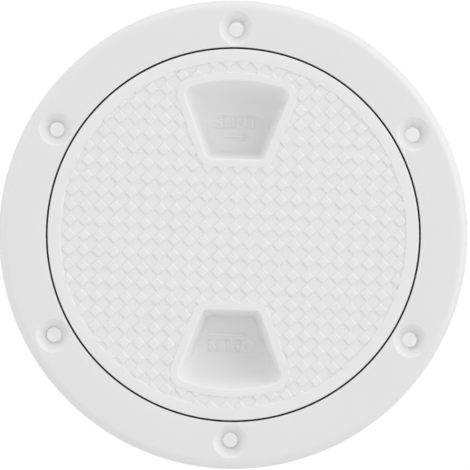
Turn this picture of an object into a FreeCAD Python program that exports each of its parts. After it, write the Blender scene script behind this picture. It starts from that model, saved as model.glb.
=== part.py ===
"""Deck inspection plate: a mounting ring, a screw-in lid with two finger wells, and the ring's seal.

Sizes are in millimetres and angles in degrees. The origin is the centre of the ring, in the plane
of the deck that the flange lies on. +Z points up out of the deck, and +Y through a screw hole.
"""
import FreeCAD
import Part

import math
import os
from dataclasses import dataclass, replace

import Sketcher

# Driving dimensions: name, value, what it is.
SIZES = [
    ("neck_bore", 54.4, "inner radius of the neck, at the root of its thread"),
    ("neck_wall", 3.0, "wall of the neck"),
    ("neck_depth", 20.0, "how far the neck reaches below the deck"),
    ("ledge_width", 3.9, "width of the ledge that the seal lies on"),
    ("flange_width", 14.7, "from the recess's wall to the flange's edge"),
    ("flange_height", 6.5, "from the deck to the top of the flange"),
    ("flange_edge_round", 3.4, "round of the flange's outer edge"),
    ("flange_edge_flats", 3, "number of flats that make up the round of the flange's edge"),
    ("flange_skin", 2.6, "top skin of the flange over its cored underside"),
    ("flange_lip", 2.5, "outer wall of the cored underside"),
    ("collar_wall", 2.3, "wall between the recess and the cored underside"),
    ("rib_wall", 1.8, "thickness of the radial ribs under the flange"),
    ("rib_count", 12, "number of radial ribs under the flange"),
    ("recess_edge_bevel", 0.4, "bevel round the recess's top edge"),
    ("screw_inset", 5.85, "from the recess's wall to the circle of the screw holes"),
    ("screw_count", 6, "number of screw holes"),
    ("screw_hole", 2.5, "radius of a screw hole"),
    ("screw_mouth", 5.3, "radius of the countersink at the top face"),
    ("screw_cone_angle", 90.0, "full angle of the countersink"),
    ("screw_boss", 5.5, "radius of the boss round a screw hole"),
    ("seal_height", 2.0, "thickness of the seal"),
    ("seal_bore_gap", 0.3, "from the neck's bore to the inner edge of the seal"),
    ("seal_wall_gap", 0.15, "gap between the seal and the recess's wall"),
    ("seal_face_gap", 0.05, "gap between the seal and the faces above and below it"),
    ("thread_pitch", 5.0, "rise of the thread in a turn"),
    ("thread_depth", 1.8, "height of the thread ridge"),
    ("thread_foot", 2.2, "width of the thread ridge at its foot"),
    ("thread_crest", 1.2, "width of the thread ridge at its crest"),
    ("thread_gap", 0.3, "radial gap between a crest and the root that it faces"),
    ("thread_sink", 0.2, "how far the foot of a ridge is sunk into its wall"),
    ("thread_turns", 1.5, "number of turns of each thread"),
    ("thread_end", 2.6, "from the middle of the neck's last turn to the ledge above it"),
    ("rim_gap", 0.6, "gap between the lid's rim and the recess's wall"),
    ("rim_height", 2.2, "thickness of the lid's rim over the seal"),
    ("rim_edge_bevel", 0.4, "bevel round the rim's top edge"),
    ("rim_band", 4.0, "width of the smooth band round the tread"),
    ("plate_height", 2.5, "thickness of the lid's plate under the tread"),
    ("skirt_wall", 2.4, "wall of the lid's skirt, at the root of its thread"),
    ("skirt_lead", 2.2, "from the foot of the skirt to the middle of its thread's first turn"),
    ("star_wall", 1.8, "thickness of the stiffening ribs under the lid"),
    ("star_height", 3.0, "height of the stiffening ribs under the lid"),
    ("star_count", 4, "number of stiffening ribs, each a full diameter"),
    ("lid_rest_turn", -0.67, "angle at which the lid comes to rest when it is screwed home"),
    ("well_half_angle", 20.7, "half the angle between the sides of a finger well"),
    ("well_inner_edge", 23.4, "from the lid's axis to the straight inner edge of a well"),
    ("well_outer_gap", 1.9, "from the well's outer edge to the inner face of the skirt"),
    ("well_near_round", 2.0, "corner radius of a well at its inner edge"),
    ("well_far_round", 2.9, "corner radius of a well's mouth at its outer edge"),
    ("well_depth", 12.0, "depth of a well"),
    ("well_wall", 2.2, "wall of the cup round a well"),
    ("well_draft", 11.1, "lean of a well's sides and inner wall, from upright"),
    ("well_scoop", 7.0, "how far a well's outer end sweeps in, from mouth to floor"),
    ("scoop_round", 26.0, "radius of the hollow sweep of a well's outer end"),
    ("well_lip", 2.6, "width of the smooth lip round a well's mouth"),
    ("tread_height", 0.6, "height of the raised diamonds"),
    ("tread_pitch", 4.66, "distance between neighbouring diamonds, along both rows"),
    ("tread_corner_gap", 0.36, "gap between the corners of neighbouring diamonds, at their foot"),
    ("tread_draft", 25.0, "lean of the diamonds' flanks, from upright"),
    ("tread_turn", -1.4, "angle between the rows of diamonds and the wells"),
    ("tread_shift_across", 0.30, "offset of the diamonds along their first row"),
    ("tread_shift_along", 2.19, "offset of the diamonds along their second row"),
    ("tread_least", 0.008, "least share of a grid cell's volume that a cut diamond must keep"),
    ("overrun", 0.1, "how far a cutting shape passes the face that it cuts"),
]

# Sizes that follow from the driving ones: name, formula, what it is.
FITS = [
    ("neck_outer", "sizes.neck_bore + sizes.neck_wall", "outer radius of the neck"),
    ("recess", "sizes.neck_bore + sizes.ledge_width", "radius of the recess for the lid's rim"),
    ("collar", "recess + sizes.collar_wall", "outer radius of the collar round the recess"),
    ("flange", "recess + sizes.flange_width", "outer radius of the flange"),
    ("flange_core", "flange - sizes.flange_lip", "outer radius of the cored underside"),
    ("core_top", "sizes.flange_height - sizes.flange_skin", "level of the cored underside's ceiling"),
    ("screw_circle", "recess + sizes.screw_inset", "radius of the circle of the screw holes"),
    ("cone_half", "sizes.screw_cone_angle / 2", "half angle of the countersink"),
    ("cone_depth", "(sizes.screw_mouth - sizes.screw_hole) / tan(cone_half)", "depth of the countersink"),
    ("rim_under", "sizes.flange_height - sizes.rim_height", "level of the underside of the lid's rim"),
    ("seal_top", "rim_under - sizes.seal_face_gap", "level of the seal's top face"),
    ("seal_under", "seal_top - sizes.seal_height", "level of the seal's underside"),
    ("seal_inner", "sizes.neck_bore + sizes.seal_bore_gap", "inner radius of the seal"),
    ("seal_outer", "recess - sizes.seal_wall_gap", "outer radius of the seal"),
    ("ledge", "seal_under - sizes.seal_face_gap", "level of the ledge"),
    ("rim", "recess - sizes.rim_gap", "outer radius of the lid's rim"),
    ("skirt_root", "sizes.neck_bore - sizes.thread_depth - sizes.thread_gap", "radius of the skirt"),
    ("skirt_inner", "skirt_root - sizes.skirt_wall", "inner radius of the skirt"),
    ("thread_rise", "sizes.thread_turns * sizes.thread_pitch", "rise of each thread"),
    ("neck_thread_start", "ledge - sizes.thread_end - thread_rise", "level of the neck's first turn"),
    ("lid_thread_start", "neck_thread_start - sizes.thread_pitch / 2", "level of the skirt's first turn"),
    ("skirt_foot", "lid_thread_start - sizes.skirt_lead", "level of the foot of the skirt"),
    ("tread_base", "sizes.flange_height - sizes.tread_height", "level of the plate between the diamonds"),
    ("plate_under", "tread_base - sizes.plate_height", "level of the underside of the lid's plate"),
    ("tread_edge", "rim - sizes.rim_band", "outer radius of the tread, at its foot"),
    ("tread_top", "sizes.flange_height + sizes.overrun", "level to which the tread's cutting shapes reach"),
    ("tread_foot", "tread_base - sizes.overrun", "level at which the tread's cutting shapes start"),
    ("tread_lean", "tan(sizes.tread_draft)", "lean of the tread's flanks for each unit of height"),
    ("lip_foot", "sizes.well_lip + sizes.overrun * tread_lean", "lip width at the cutting shape's foot"),
    ("well_floor", "sizes.flange_height - sizes.well_depth", "level of a well's floor"),
    ("cup_under", "well_floor - sizes.well_wall", "level of the underside of a well's cup"),
    ("well_arc", "skirt_inner - sizes.well_outer_gap", "radius of a well's outer edge"),
    ("scoop_chord", "sqrt(sizes.well_scoop ^ 2 + sizes.well_depth ^ 2)", "chord of a well's sweep"),
    ("scoop_reach", "sqrt(sizes.scoop_round ^ 2 - scoop_chord ^ 2 / 4)", "from the chord to the sweep's centre"),
    (
        "scoop_across",
        "well_arc - sizes.well_scoop / 2 - scoop_reach * sizes.well_depth / scoop_chord",
        "distance of the sweep's centre from the lid's axis",
    ),
    (
        "scoop_up",
        "(sizes.flange_height + well_floor) / 2 + scoop_reach * sizes.well_scoop / scoop_chord",
        "level of the sweep's centre",
    ),
]


@dataclass(frozen=True)
class Corner:
    """A corner of an outline; a bulge is the radius of the arc that leads to the next corner.

    A positive arc turns left and a negative one turns right. All the values are formulas.
    """

    across: str
    up: str
    bulge: str = ""


@dataclass(frozen=True)
class Sector:
    """The outline of a finger well's mouth: a sector of a ring with a straight inner edge.

    edge is the inner edge's distance from the axis, arc the outer edge's radius, lean how far the
    sides lie inside the radial lines, and near and far the corner radii. All are formulas.
    """

    edge: str
    arc: str
    lean: str
    near: str
    far: str

    def grown(self, width):
        """Return the outline moved outwards all round by a width."""
        return Sector(
            f"{self.edge} - {width}",
            f"{self.arc} + {width}",
            f"{self.lean} - {width}",
            f"{self.near} + {width}",
            f"{self.far} + {width}",
        )


MOUTH = Sector("sizes.well_inner_edge", "fits.well_arc", "0", "sizes.well_near_round", "sizes.well_far_round")

# How a sketch refers to the ends and centre of a side, to its own origin and to its upright axis.
START, END, CENTRE = 1, 2, 3
ORIGIN = (-1, 1)
UPRIGHT = -2

# Two levels closer than this are the same level.
TOUCH = 1e-5


def write_sizes(doc):
    """Fill the sheet of driving dimensions, and the set of sizes that follow from them."""
    sheet = doc.addObject("Spreadsheet::Sheet", "sizes")
    for row, (name, value, meaning) in enumerate(SIZES, start=1):
        sheet.set(f"A{row}", meaning)
        sheet.set(f"B{row}", str(value))
        sheet.setAlias(f"B{row}", name)
    doc.recompute()
    fits = doc.addObject("App::VarSet", "fits")
    for name, _, meaning in FITS:
        fits.addProperty("App::PropertyFloat", name, "Fits", meaning)
    for name, formula, _ in FITS:
        fits.setExpression(name, formula)
    doc.recompute()
    return sheet, fits


def reading(item, formula):
    """Return the present value of a formula."""
    return float(item.evalExpression(formula))


def new_sketch(body, name, plane, level=""):
    """Add an empty sketch on one of the body's own planes, lifted to a level if one is given."""
    sketch = body.newObject("Sketcher::SketchObject", name)
    origin_plane = next(item for item in body.Origin.OriginFeatures if item.Role == plane)
    sketch.AttachmentSupport = [(origin_plane, "")]
    sketch.MapMode = "FlatFace"
    if level:
        sketch.setExpression("AttachmentOffset.Base.z", level)
    return sketch


def bind(sketch, kind, *target, formula):
    """Add a constraint whose value is a formula."""
    value = reading(sketch, formula)
    if kind == "Angle":
        value = math.radians(value)
    index = sketch.addConstraint(Sketcher.Constraint(kind, *target, value))
    sketch.setExpression(f"Constraints[{index}]", formula)


def arc_between(start, end, bulge):
    """Return the arc from start to end; it turns left if the bulge is positive, else right."""
    chord = end - start
    half = chord.Length / 2
    normal = FreeCAD.Vector(-chord.y, chord.x, 0).normalize()
    side = math.copysign(math.sqrt(max(bulge**2 - half**2, 0)), bulge)
    centre = (start + end) / 2 + normal * side
    first, last = (start, end) if bulge > 0 else (end, start)
    from_angle, to_angle = (math.atan2(point.y - centre.y, point.x - centre.x) for point in (first, last))
    circle = Part.Circle(centre, FreeCAD.Vector(0, 0, 1), abs(bulge))
    return Part.ArcOfCircle(circle, from_angle, to_angle)


def outline_sketch(body, name, plane, corners, level=""):
    """Add a sketch of one closed outline, with every corner held by formulas."""
    sketch = new_sketch(body, name, plane, level)
    points = [FreeCAD.Vector(reading(sketch, c.across), reading(sketch, c.up), 0) for c in corners]
    starts = []
    ends = []
    for index, corner in enumerate(corners):
        here, there = points[index], points[(index + 1) % len(points)]
        bulge = reading(sketch, corner.bulge) if corner.bulge else 0.0
        side = arc_between(here, there, bulge) if bulge else Part.LineSegment(here, there)
        sketch.addGeometry(side, False)
        starts.append(END if bulge < 0 else START)
        ends.append(START if bulge < 0 else END)
    for index, corner in enumerate(corners):
        before = index - 1 if index else len(corners) - 1
        joint = Sketcher.Constraint("Coincident", before, ends[before], index, starts[index])
        sketch.addConstraint(joint)
        bind(sketch, "DistanceX", *ORIGIN, index, starts[index], formula=corner.across)
        bind(sketch, "DistanceY", *ORIGIN, index, starts[index], formula=corner.up)
        if corner.bulge:
            bind(sketch, "Radius", index, formula=f"abs({corner.bulge})")
    return sketch


def sector_sketch(body, name, sector, level):
    """Add a sketch of a finger well's outline at one level; its sides join tangent to their rounds."""
    sketch = new_sketch(body, name, "XY_Plane", level)
    turn = math.radians(reading(sketch, "sizes.well_half_angle"))
    edge, arc, lean, near, far = (
        reading(sketch, formula) for formula in (sector.edge, sector.arc, sector.lean, sector.near, sector.far)
    )
    along = FreeCAD.Vector(math.sin(turn), math.cos(turn), 0)
    inward = FreeCAD.Vector(-math.cos(turn), math.sin(turn), 0)
    near_reach = (edge + near - (lean + near) * math.sin(turn)) / math.cos(turn)
    far_reach = math.sqrt((arc - far) ** 2 - (lean + far) ** 2)
    near_centre = along * near_reach + inward * (lean + near)
    far_centre = along * far_reach + inward * (lean + far)
    right = [
        FreeCAD.Vector(near_centre.x, edge, 0),
        along * near_reach + inward * lean,
        along * far_reach + inward * lean,
        far_centre * (arc / (arc - far)),
    ]
    left = [FreeCAD.Vector(-point.x, point.y, 0) for point in reversed(right)]
    points = right + left
    bulges = [near, 0, far, arc, far, 0, near, 0]
    for index, bulge in enumerate(bulges):
        here, there = points[index], points[(index + 1) % len(points)]
        side = arc_between(here, there, bulge) if bulge else Part.LineSegment(here, there)
        sketch.addGeometry(side, False)
    near_right, side_right, far_right, outer, far_left, side_left, near_left, inner = range(len(bulges))
    for index in range(len(bulges)):
        before = index - 1 if index else len(bulges) - 1
        sketch.addConstraint(Sketcher.Constraint("Tangent", before, END, index, START))
    sketch.addConstraint(Sketcher.Constraint("Coincident", outer, CENTRE, *ORIGIN))
    sketch.addConstraint(Sketcher.Constraint("Symmetric", inner, START, inner, END, UPRIGHT))
    sketch.addConstraint(Sketcher.Constraint("Equal", near_right, near_left))
    sketch.addConstraint(Sketcher.Constraint("Equal", far_right, far_left))
    bind(sketch, "Radius", near_right, formula=sector.near)
    bind(sketch, "Radius", far_right, formula=sector.far)
    bind(sketch, "Radius", outer, formula=sector.arc)
    bind(sketch, "DistanceY", *ORIGIN, inner, END, formula=sector.edge)
    half_edge = (
        f"({sector.edge} + {sector.near}) * tan(sizes.well_half_angle)"
        f" - ({sector.lean} + {sector.near}) / cos(sizes.well_half_angle)"
    )
    bind(sketch, "DistanceX", *ORIGIN, inner, END, formula=half_edge)
    bind(sketch, "Angle", side_right, formula="90 - sizes.well_half_angle")
    bind(sketch, "Angle", side_left, formula="sizes.well_half_angle - 90")
    return sketch


def add_feature(body, kind, name, profile, **settings):
    """Add a feature made from a sketch to the body, and set its properties."""
    feature = body.newObject(f"PartDesign::{kind}", name)
    feature.Profile = profile
    for key, value in settings.items():
        setattr(feature, key, value)
    body.Tip = feature
    return feature


def add_pattern(body, name, originals, count, angle=360.0):
    """Repeat features round the body's upright axis; the count is a formula."""
    pattern = body.newObject("PartDesign::PolarPattern", name)
    pattern.Originals = originals
    upright = next(item for item in body.Origin.OriginFeatures if item.Role == "Z_Axis")
    pattern.Axis = (upright, [""])
    pattern.Angle = angle
    pattern.setExpression("Occurrences", count)
    body.Tip = pattern
    return pattern


def add_thread(body, name, root, crest, start):
    """Add a right-hand thread ridge between two radii; its middle starts at a level over +X."""
    corners = [
        Corner(root, f"{start} - sizes.thread_foot / 2"),
        Corner(crest, f"{start} - sizes.thread_crest / 2"),
        Corner(crest, f"{start} + sizes.thread_crest / 2"),
        Corner(root, f"{start} + sizes.thread_foot / 2"),
    ]
    profile = outline_sketch(body, f"{name}_profile", "XZ_Plane", corners)
    body.Document.recompute()
    thread = add_feature(body, "AdditiveHelix", name, profile, ReferenceAxis=(profile, ["V_Axis"]))
    thread.Mode = "pitch-height-angle"
    thread.setExpression("Pitch", "sizes.thread_pitch")
    thread.setExpression("Height", "fits.thread_rise")
    return thread


def flange_edge(flats):
    """Return the corners of the flange's outer edge: an upright side, then the flats of its round."""
    corners = []
    for step in range(flats + 1):
        angle = 90 * step / flats
        across = f"fits.flange - sizes.flange_edge_round * (1 - cos({angle}))"
        up = f"sizes.flange_height - sizes.flange_edge_round * (1 - sin({angle}))"
        corners.append(Corner(across, up))
    return corners


def mounting_ring(doc, sizes):
    """Build the ring: a flange cored from below, a recess for the lid, and a threaded neck."""
    body = doc.addObject("PartDesign::Body", "mounting_ring")
    section = [
        Corner("0", "-sizes.neck_depth"),
        Corner("fits.neck_outer", "-sizes.neck_depth"),
        Corner("fits.neck_outer", "0"),
        Corner("fits.collar", "0"),
        Corner("fits.collar", "fits.core_top"),
        Corner("fits.flange_core", "fits.core_top"),
        Corner("fits.flange_core", "0"),
        Corner("fits.flange", "0"),
        *flange_edge(sizes.flange_edge_flats),
        Corner("0", "sizes.flange_height"),
    ]
    profile = outline_sketch(body, "ring_section", "XZ_Plane", section)
    add_feature(body, "Revolution", "ring_blank", profile, ReferenceAxis=(profile, ["V_Axis"]), Angle=360)
    add_bosses(body)
    add_ribs(body)
    cut_bore(body)
    inner = "sizes.neck_bore - sizes.thread_depth"
    outer = "sizes.neck_bore + sizes.thread_sink"
    add_thread(body, "neck_thread", outer, inner, "fits.neck_thread_start")
    cut_screw_holes(body)
    return body


def add_bosses(body):
    """Add the bosses that back the screw holes under the flange."""
    sketch = new_sketch(body, "boss_outline", "XY_Plane")
    radius = reading(sketch, "sizes.screw_boss")
    centre = FreeCAD.Vector(0, reading(sketch, "fits.screw_circle"), 0)
    boss = sketch.addGeometry(Part.Circle(centre, FreeCAD.Vector(0, 0, 1), radius), False)
    sketch.addConstraint(Sketcher.Constraint("PointOnObject", boss, CENTRE, UPRIGHT))
    bind(sketch, "DistanceY", *ORIGIN, boss, CENTRE, formula="fits.screw_circle")
    bind(sketch, "Radius", boss, formula="sizes.screw_boss")
    pad = add_feature(body, "Pad", "boss", sketch)
    pad.setExpression("Length", "fits.core_top")
    add_pattern(body, "bosses", [pad], "sizes.screw_count")


def add_ribs(body):
    """Add the radial ribs under the flange, between its collar and its outer lip."""
    half = "sizes.rib_wall / 2"
    inner = "(fits.recess + fits.collar) / 2"
    outer = "(fits.flange_core + fits.flange) / 2"
    corners = [Corner(f"-{half}", inner), Corner(half, inner), Corner(half, outer), Corner(f"-{half}", outer)]
    sketch = outline_sketch(body, "rib_outline", "XY_Plane", corners)
    sketch.setExpression("AttachmentOffset.Rotation.Angle", "180 / sizes.rib_count")
    rib = add_feature(body, "Pad", "rib", sketch)
    rib.setExpression("Length", "fits.core_top")
    add_pattern(body, "ribs", [rib], "sizes.rib_count")


def cut_bore(body):
    """Cut the recess for the lid's rim, the seal's ledge and the neck's bore, in one turned cut."""
    above = "sizes.flange_height + sizes.overrun"
    below = "-sizes.neck_depth - sizes.overrun"
    corners = [
        Corner("0", below),
        Corner("sizes.neck_bore", below),
        Corner("sizes.neck_bore", "fits.ledge"),
        Corner("fits.recess", "fits.ledge"),
        Corner("fits.recess", "sizes.flange_height - sizes.recess_edge_bevel"),
        Corner("fits.recess + sizes.recess_edge_bevel", "sizes.flange_height"),
        Corner("fits.recess + sizes.recess_edge_bevel", above),
        Corner("0", above),
    ]
    profile = outline_sketch(body, "bore_section", "XZ_Plane", corners)
    add_feature(body, "Groove", "bore", profile, ReferenceAxis=(profile, ["V_Axis"]), Angle=360)


def cut_screw_holes(body):
    """Cut the countersunk screw holes."""
    axis = "fits.screw_circle"
    above = "sizes.flange_height + sizes.overrun"
    wide = f"{axis} + sizes.screw_mouth"
    corners = [
        Corner(axis, "-sizes.overrun"),
        Corner(f"{axis} + sizes.screw_hole", "-sizes.overrun"),
        Corner(f"{axis} + sizes.screw_hole", "sizes.flange_height - fits.cone_depth"),
        Corner(wide, "sizes.flange_height"),
        Corner(wide, above),
        Corner(axis, above),
    ]
    profile = outline_sketch(body, "screw_hole_section", "YZ_Plane", corners)
    foot = FreeCAD.Vector(reading(profile, axis), 0, 0)
    upright = sketch_axis(profile, foot, axis)
    hole = add_feature(body, "Groove", "screw_hole", profile, ReferenceAxis=(profile, [upright]), Angle=360)
    add_pattern(body, "screw_holes", [hole], "sizes.screw_count")


def sketch_axis(sketch, foot, across):
    """Add an upright construction line to a sketch, to turn a profile about, and return its name."""
    length = reading(sketch, "sizes.flange_height")
    line = sketch.addGeometry(Part.LineSegment(foot, foot + FreeCAD.Vector(0, length, 0)), True)
    sketch.addConstraint(Sketcher.Constraint("Vertical", line))
    bind(sketch, "DistanceX", *ORIGIN, line, START, formula=across)
    sketch.addConstraint(Sketcher.Constraint("PointOnObject", line, START, -1))
    bind(sketch, "DistanceY", line, START, line, END, formula="sizes.flange_height")
    return "Axis0"


def rim_seal(doc):
    """Build the flat rubber ring that lies on the ledge, under the lid's rim."""
    body = doc.addObject("PartDesign::Body", "rim_seal")
    section = [
        Corner("fits.seal_inner", "fits.seal_under"),
        Corner("fits.seal_outer", "fits.seal_under"),
        Corner("fits.seal_outer", "fits.seal_top"),
        Corner("fits.seal_inner", "fits.seal_top"),
    ]
    profile = outline_sketch(body, "seal_section", "XZ_Plane", section)
    add_feature(body, "Revolution", "seal_ring", profile, ReferenceAxis=(profile, ["V_Axis"]), Angle=360)
    return body


def lid_blank(doc):
    """Build the lid without its wells and tread: plate, rim, threaded skirt and ribs."""
    body = doc.addObject("PartDesign::Body", "lid_blank")
    top = "sizes.flange_height"
    section = [
        Corner("0", "fits.plate_under"),
        Corner("fits.skirt_inner", "fits.plate_under"),
        Corner("fits.skirt_inner", "fits.skirt_foot"),
        Corner("fits.skirt_root", "fits.skirt_foot"),
        Corner("fits.skirt_root", "fits.rim_under"),
        Corner("fits.rim", "fits.rim_under"),
        Corner("fits.rim", f"{top} - sizes.rim_edge_bevel"),
        Corner("fits.rim - sizes.rim_edge_bevel", top),
        Corner("0", top),
    ]
    profile = outline_sketch(body, "lid_section", "XZ_Plane", section)
    add_feature(body, "Revolution", "lid_disc", profile, ReferenceAxis=(profile, ["V_Axis"]), Angle=360)
    add_star(body)
    root = "fits.skirt_root - sizes.thread_sink"
    crest = "sizes.neck_bore - sizes.thread_gap"
    add_thread(body, "lid_thread", root, crest, "fits.lid_thread_start")
    return body


def add_star(body):
    """Add the star of stiffening ribs under the lid's plate."""
    half = "sizes.star_wall / 2"
    reach = "(fits.skirt_inner + fits.skirt_root) / 2"
    corners = [
        Corner(f"-{reach}", f"-{half}"),
        Corner(reach, f"-{half}"),
        Corner(reach, half),
        Corner(f"-{reach}", half),
    ]
    foot = "fits.plate_under - sizes.star_height"
    sketch = outline_sketch(body, "star_outline", "XY_Plane", corners, level=foot)
    rib = add_feature(body, "Pad", "star_rib", sketch)
    rib.setExpression("Length", "sizes.star_height")
    add_pattern(body, "star", [rib], "sizes.star_count", angle=180.0)


def upright_faces(shape):
    """Return the names of a shape's faces that stand between two levels."""
    return [f"Face{index}" for index, face in enumerate(shape.Faces, start=1) if face.BoundBox.ZLength > TOUCH]


def add_draft(body, name, level, angle, inward_up):
    """Lean all the upright faces of a body, as seen from a level where their outline stays."""
    base = body.Tip
    height = reading(body, level)
    flat = next(index for index, face in enumerate(base.Shape.Faces, start=1) if lies_at(face, height))
    draft = body.newObject("PartDesign::Draft", name)
    draft.Base = (base, upright_faces(base.Shape))
    draft.NeutralPlane = (base, [f"Face{flat}"])
    draft.setExpression("Angle", angle)
    draft.Reversed = inward_up
    body.Tip = draft
    body.Document.recompute()


def add_pair(body, name, sketch, height):
    """Raise an outline to a height, and repeat it on the other side of the lid's axis."""
    pad = add_feature(body, "Pad", name, sketch)
    pad.setExpression("Length", height)
    add_pattern(body, f"{name}_pair", [pad], "2")
    body.Document.recompute()


def well_wedges(doc, name, wall, low):
    """Build two wedges with drafted sides and rounded inner corners: the wells, or their cups.

    The wall is how far they lie outside the wells, and low the level of their floor.
    """
    body = doc.addObject("PartDesign::Body", name)
    edge = f"(sizes.well_inner_edge - {wall})"
    far = "fits.rim"
    near_half = f"{edge} * tan(sizes.well_half_angle) + {wall} / cos(sizes.well_half_angle)"
    far_half = f"{far} * tan(sizes.well_half_angle) + {wall} / cos(sizes.well_half_angle)"
    corners = [
        Corner(f"-({near_half})", edge),
        Corner(near_half, edge),
        Corner(far_half, far),
        Corner(f"-({far_half})", far),
    ]
    sketch = outline_sketch(body, f"{name}_outline", "XY_Plane", corners, level=low)
    add_pair(body, f"{name}_pad", sketch, f"sizes.flange_height - ({low})")
    add_draft(body, f"{name}_draft", "sizes.flange_height", "sizes.well_draft", True)
    base = body.Tip
    reach = reading(body, "sizes.well_inner_edge + sizes.well_depth")
    names = [
        f"Edge{index}"
        for index, edge in enumerate(base.Shape.Edges, start=1)
        if edge.BoundBox.ZLength > TOUCH and max(abs(edge.BoundBox.YMin), abs(edge.BoundBox.YMax)) < reach
    ]
    fillet = body.newObject("PartDesign::Fillet", f"{name}_corners")
    fillet.Base = (base, names)
    fillet.setExpression("Radius", f"sizes.well_near_round + {wall}")
    body.Tip = fillet
    return body


def sweep_disc(doc, name, section):
    """Build a turned disc from its section; its rim shapes the wells' outer ends or their cups'."""
    body = doc.addObject("PartDesign::Body", name)
    profile = outline_sketch(body, f"{name}_section", "XZ_Plane", section)
    add_feature(body, "Revolution", f"{name}_disc", profile, ReferenceAxis=(profile, ["V_Axis"]), Angle=360)
    return body


def sweep_reach(level, wall):
    """Return the formula of the radius, at a level, of the sweep or of what lies a wall outside it."""
    return f"fits.scoop_across + sqrt((sizes.scoop_round + {wall}) ^ 2 - ({level} - fits.scoop_up) ^ 2)"


def well_sweep(doc):
    """Build the disc whose rim is the hollow sweep of the wells' outer ends."""
    low, high = "fits.well_floor", "sizes.flange_height"
    section = [
        Corner("0", low),
        Corner(sweep_reach(low, "0"), low, "sizes.scoop_round"),
        Corner(sweep_reach(high, "0"), high),
        Corner("0", high),
    ]
    return sweep_disc(doc, "well_sweep", section)


def cup_slope(doc):
    """Build the disc whose rim is the straight slope under the wells' outer ends."""
    low, high = "fits.cup_under", "sizes.flange_height"
    section = [
        Corner("0", low),
        Corner(sweep_reach(low, "sizes.well_wall"), low),
        Corner("fits.skirt_root", high),
        Corner("0", high),
    ]
    return sweep_disc(doc, "cup_slope", section)


def well_mouths(doc):
    """Build the upright prisms that round the outer corners of the wells' mouths.

    Their inner corners are sharper than the wells', which the wells' own walls round.
    """
    body = doc.addObject("PartDesign::Body", "well_mouths")
    corners = replace(MOUTH, near="sizes.well_near_round / 2")
    sketch = sector_sketch(body, "well_mouth", corners, "fits.well_floor")
    add_pair(body, "mouth", sketch, "sizes.well_depth")
    return body


def shared(doc, name, shapes):
    """Return what several objects have in common."""
    common = doc.addObject("Part::MultiCommon", name)
    common.Shapes = shapes
    return common


def tread_field(doc):
    """Build the recess of the tread: a flat disc with sloping walls, less the lips of the wells."""
    disc = doc.addObject("Part::Cone", "tread_disc")
    disc.setExpression("Radius1", "fits.tread_edge")
    disc.setExpression("Radius2", "fits.tread_edge + (fits.tread_top - fits.tread_base) * fits.tread_lean")
    disc.setExpression("Height", "fits.tread_top - fits.tread_base")
    disc.setExpression("Placement.Base.z", "fits.tread_base")
    lips = doc.addObject("PartDesign::Body", "well_lips")
    outline = sector_sketch(lips, "lip_outline", MOUTH.grown("fits.lip_foot"), "fits.tread_foot")
    add_pair(lips, "lip", outline, "fits.tread_top - fits.tread_foot")
    add_draft(lips, "lip_draft", "fits.tread_foot", "sizes.tread_draft", False)
    field = doc.addObject("Part::Cut", "tread_field")
    field.Base = disc
    field.Tool = lips
    return field


def diamond_outline(sizes, fits, centre, level):
    """Return the corners of a diamond at a level; its flanks lean in towards its top."""
    turn = FreeCAD.Rotation(FreeCAD.Vector(0, 0, 1), sizes.tread_turn)
    lean = (level - fits.tread_base) * fits.tread_lean * math.sqrt(2)
    half = (sizes.tread_pitch - sizes.tread_corner_gap) / 2 - lean
    arms = [(half, 0), (0, half), (-half, 0), (0, -half)]
    return [turn.multVec(centre + FreeCAD.Vector(across, along, level)) for across, along in arms]


def outline_wire(corners):
    """Return the closed wire through some corners."""
    return Part.makePolygon([*corners, corners[0]])


def diamond_faces(sizes, fits, centre, low):
    """Return the flanks and the top of a diamond, turned outwards, and the wire of its foot."""
    foot = diamond_outline(sizes, fits, centre, low)
    top = diamond_outline(sizes, fits, centre, sizes.flange_height)
    corners = list(zip(foot, top))
    faces = []
    for (foot_here, top_here), (foot_there, top_there) in zip(corners, corners[1:] + corners[:1]):
        flank = Part.Face(outline_wire([foot_here, foot_there, top_there, top_here]))
        faces.append(facing(flank, foot_here + foot_there - foot[0] - foot[2]))
    faces.append(facing(Part.Face(outline_wire(top)), FreeCAD.Vector(0, 0, 1)))
    return faces, outline_wire(foot)


def diamond_solid(sizes, fits, centre):
    """Return a diamond that reaches down into the plate, as a closed solid."""
    faces, foot = diamond_faces(sizes, fits, centre, fits.tread_foot)
    shell = Part.makeShell([*faces, facing(Part.Face(foot), FreeCAD.Vector(0, 0, -1))])
    shell.sewShape()
    return Part.makeSolid(Part.Shell(shell.Faces))


def lies_at(shape, level):
    """Say whether a face or an edge lies flat at a level."""
    return max(abs(shape.BoundBox.ZMin - level), abs(shape.BoundBox.ZMax - level)) < TOUCH


def widest_face(shape, level):
    """Return the widest flat face of a shape at a level."""
    return max((face for face in shape.Faces if lies_at(face, level)), key=lambda face: face.Area)


def grid_centres(sizes, fits):
    """Return the centres of the diamonds, before their turn: a shifted square grid over the tread."""
    reach = math.ceil(fits.tread_edge / sizes.tread_pitch) + 1
    steps = range(-reach, reach + 1)
    shift = FreeCAD.Vector(sizes.tread_shift_across, sizes.tread_shift_along, 0)
    return [shift + FreeCAD.Vector(row, place, 0) * sizes.tread_pitch for row in steps for place in steps]


def sort_diamonds(plate, sizes, fits):
    """Return the centres of the diamonds that are whole, and of those that cross the plate's edges."""
    edges = Part.makeCompound(plate.Wires)
    whole, crossing = [], []
    for centre in grid_centres(sizes, fits):
        foot = outline_wire(diamond_outline(sizes, fits, centre, fits.tread_base))
        if foot.distToShape(edges)[0] <= TOUCH:
            crossing.append(centre)
        elif plate.isInside(foot.Vertexes[0].Point, TOUCH, True):
            whole.append(centre)
    return whole, crossing


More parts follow.
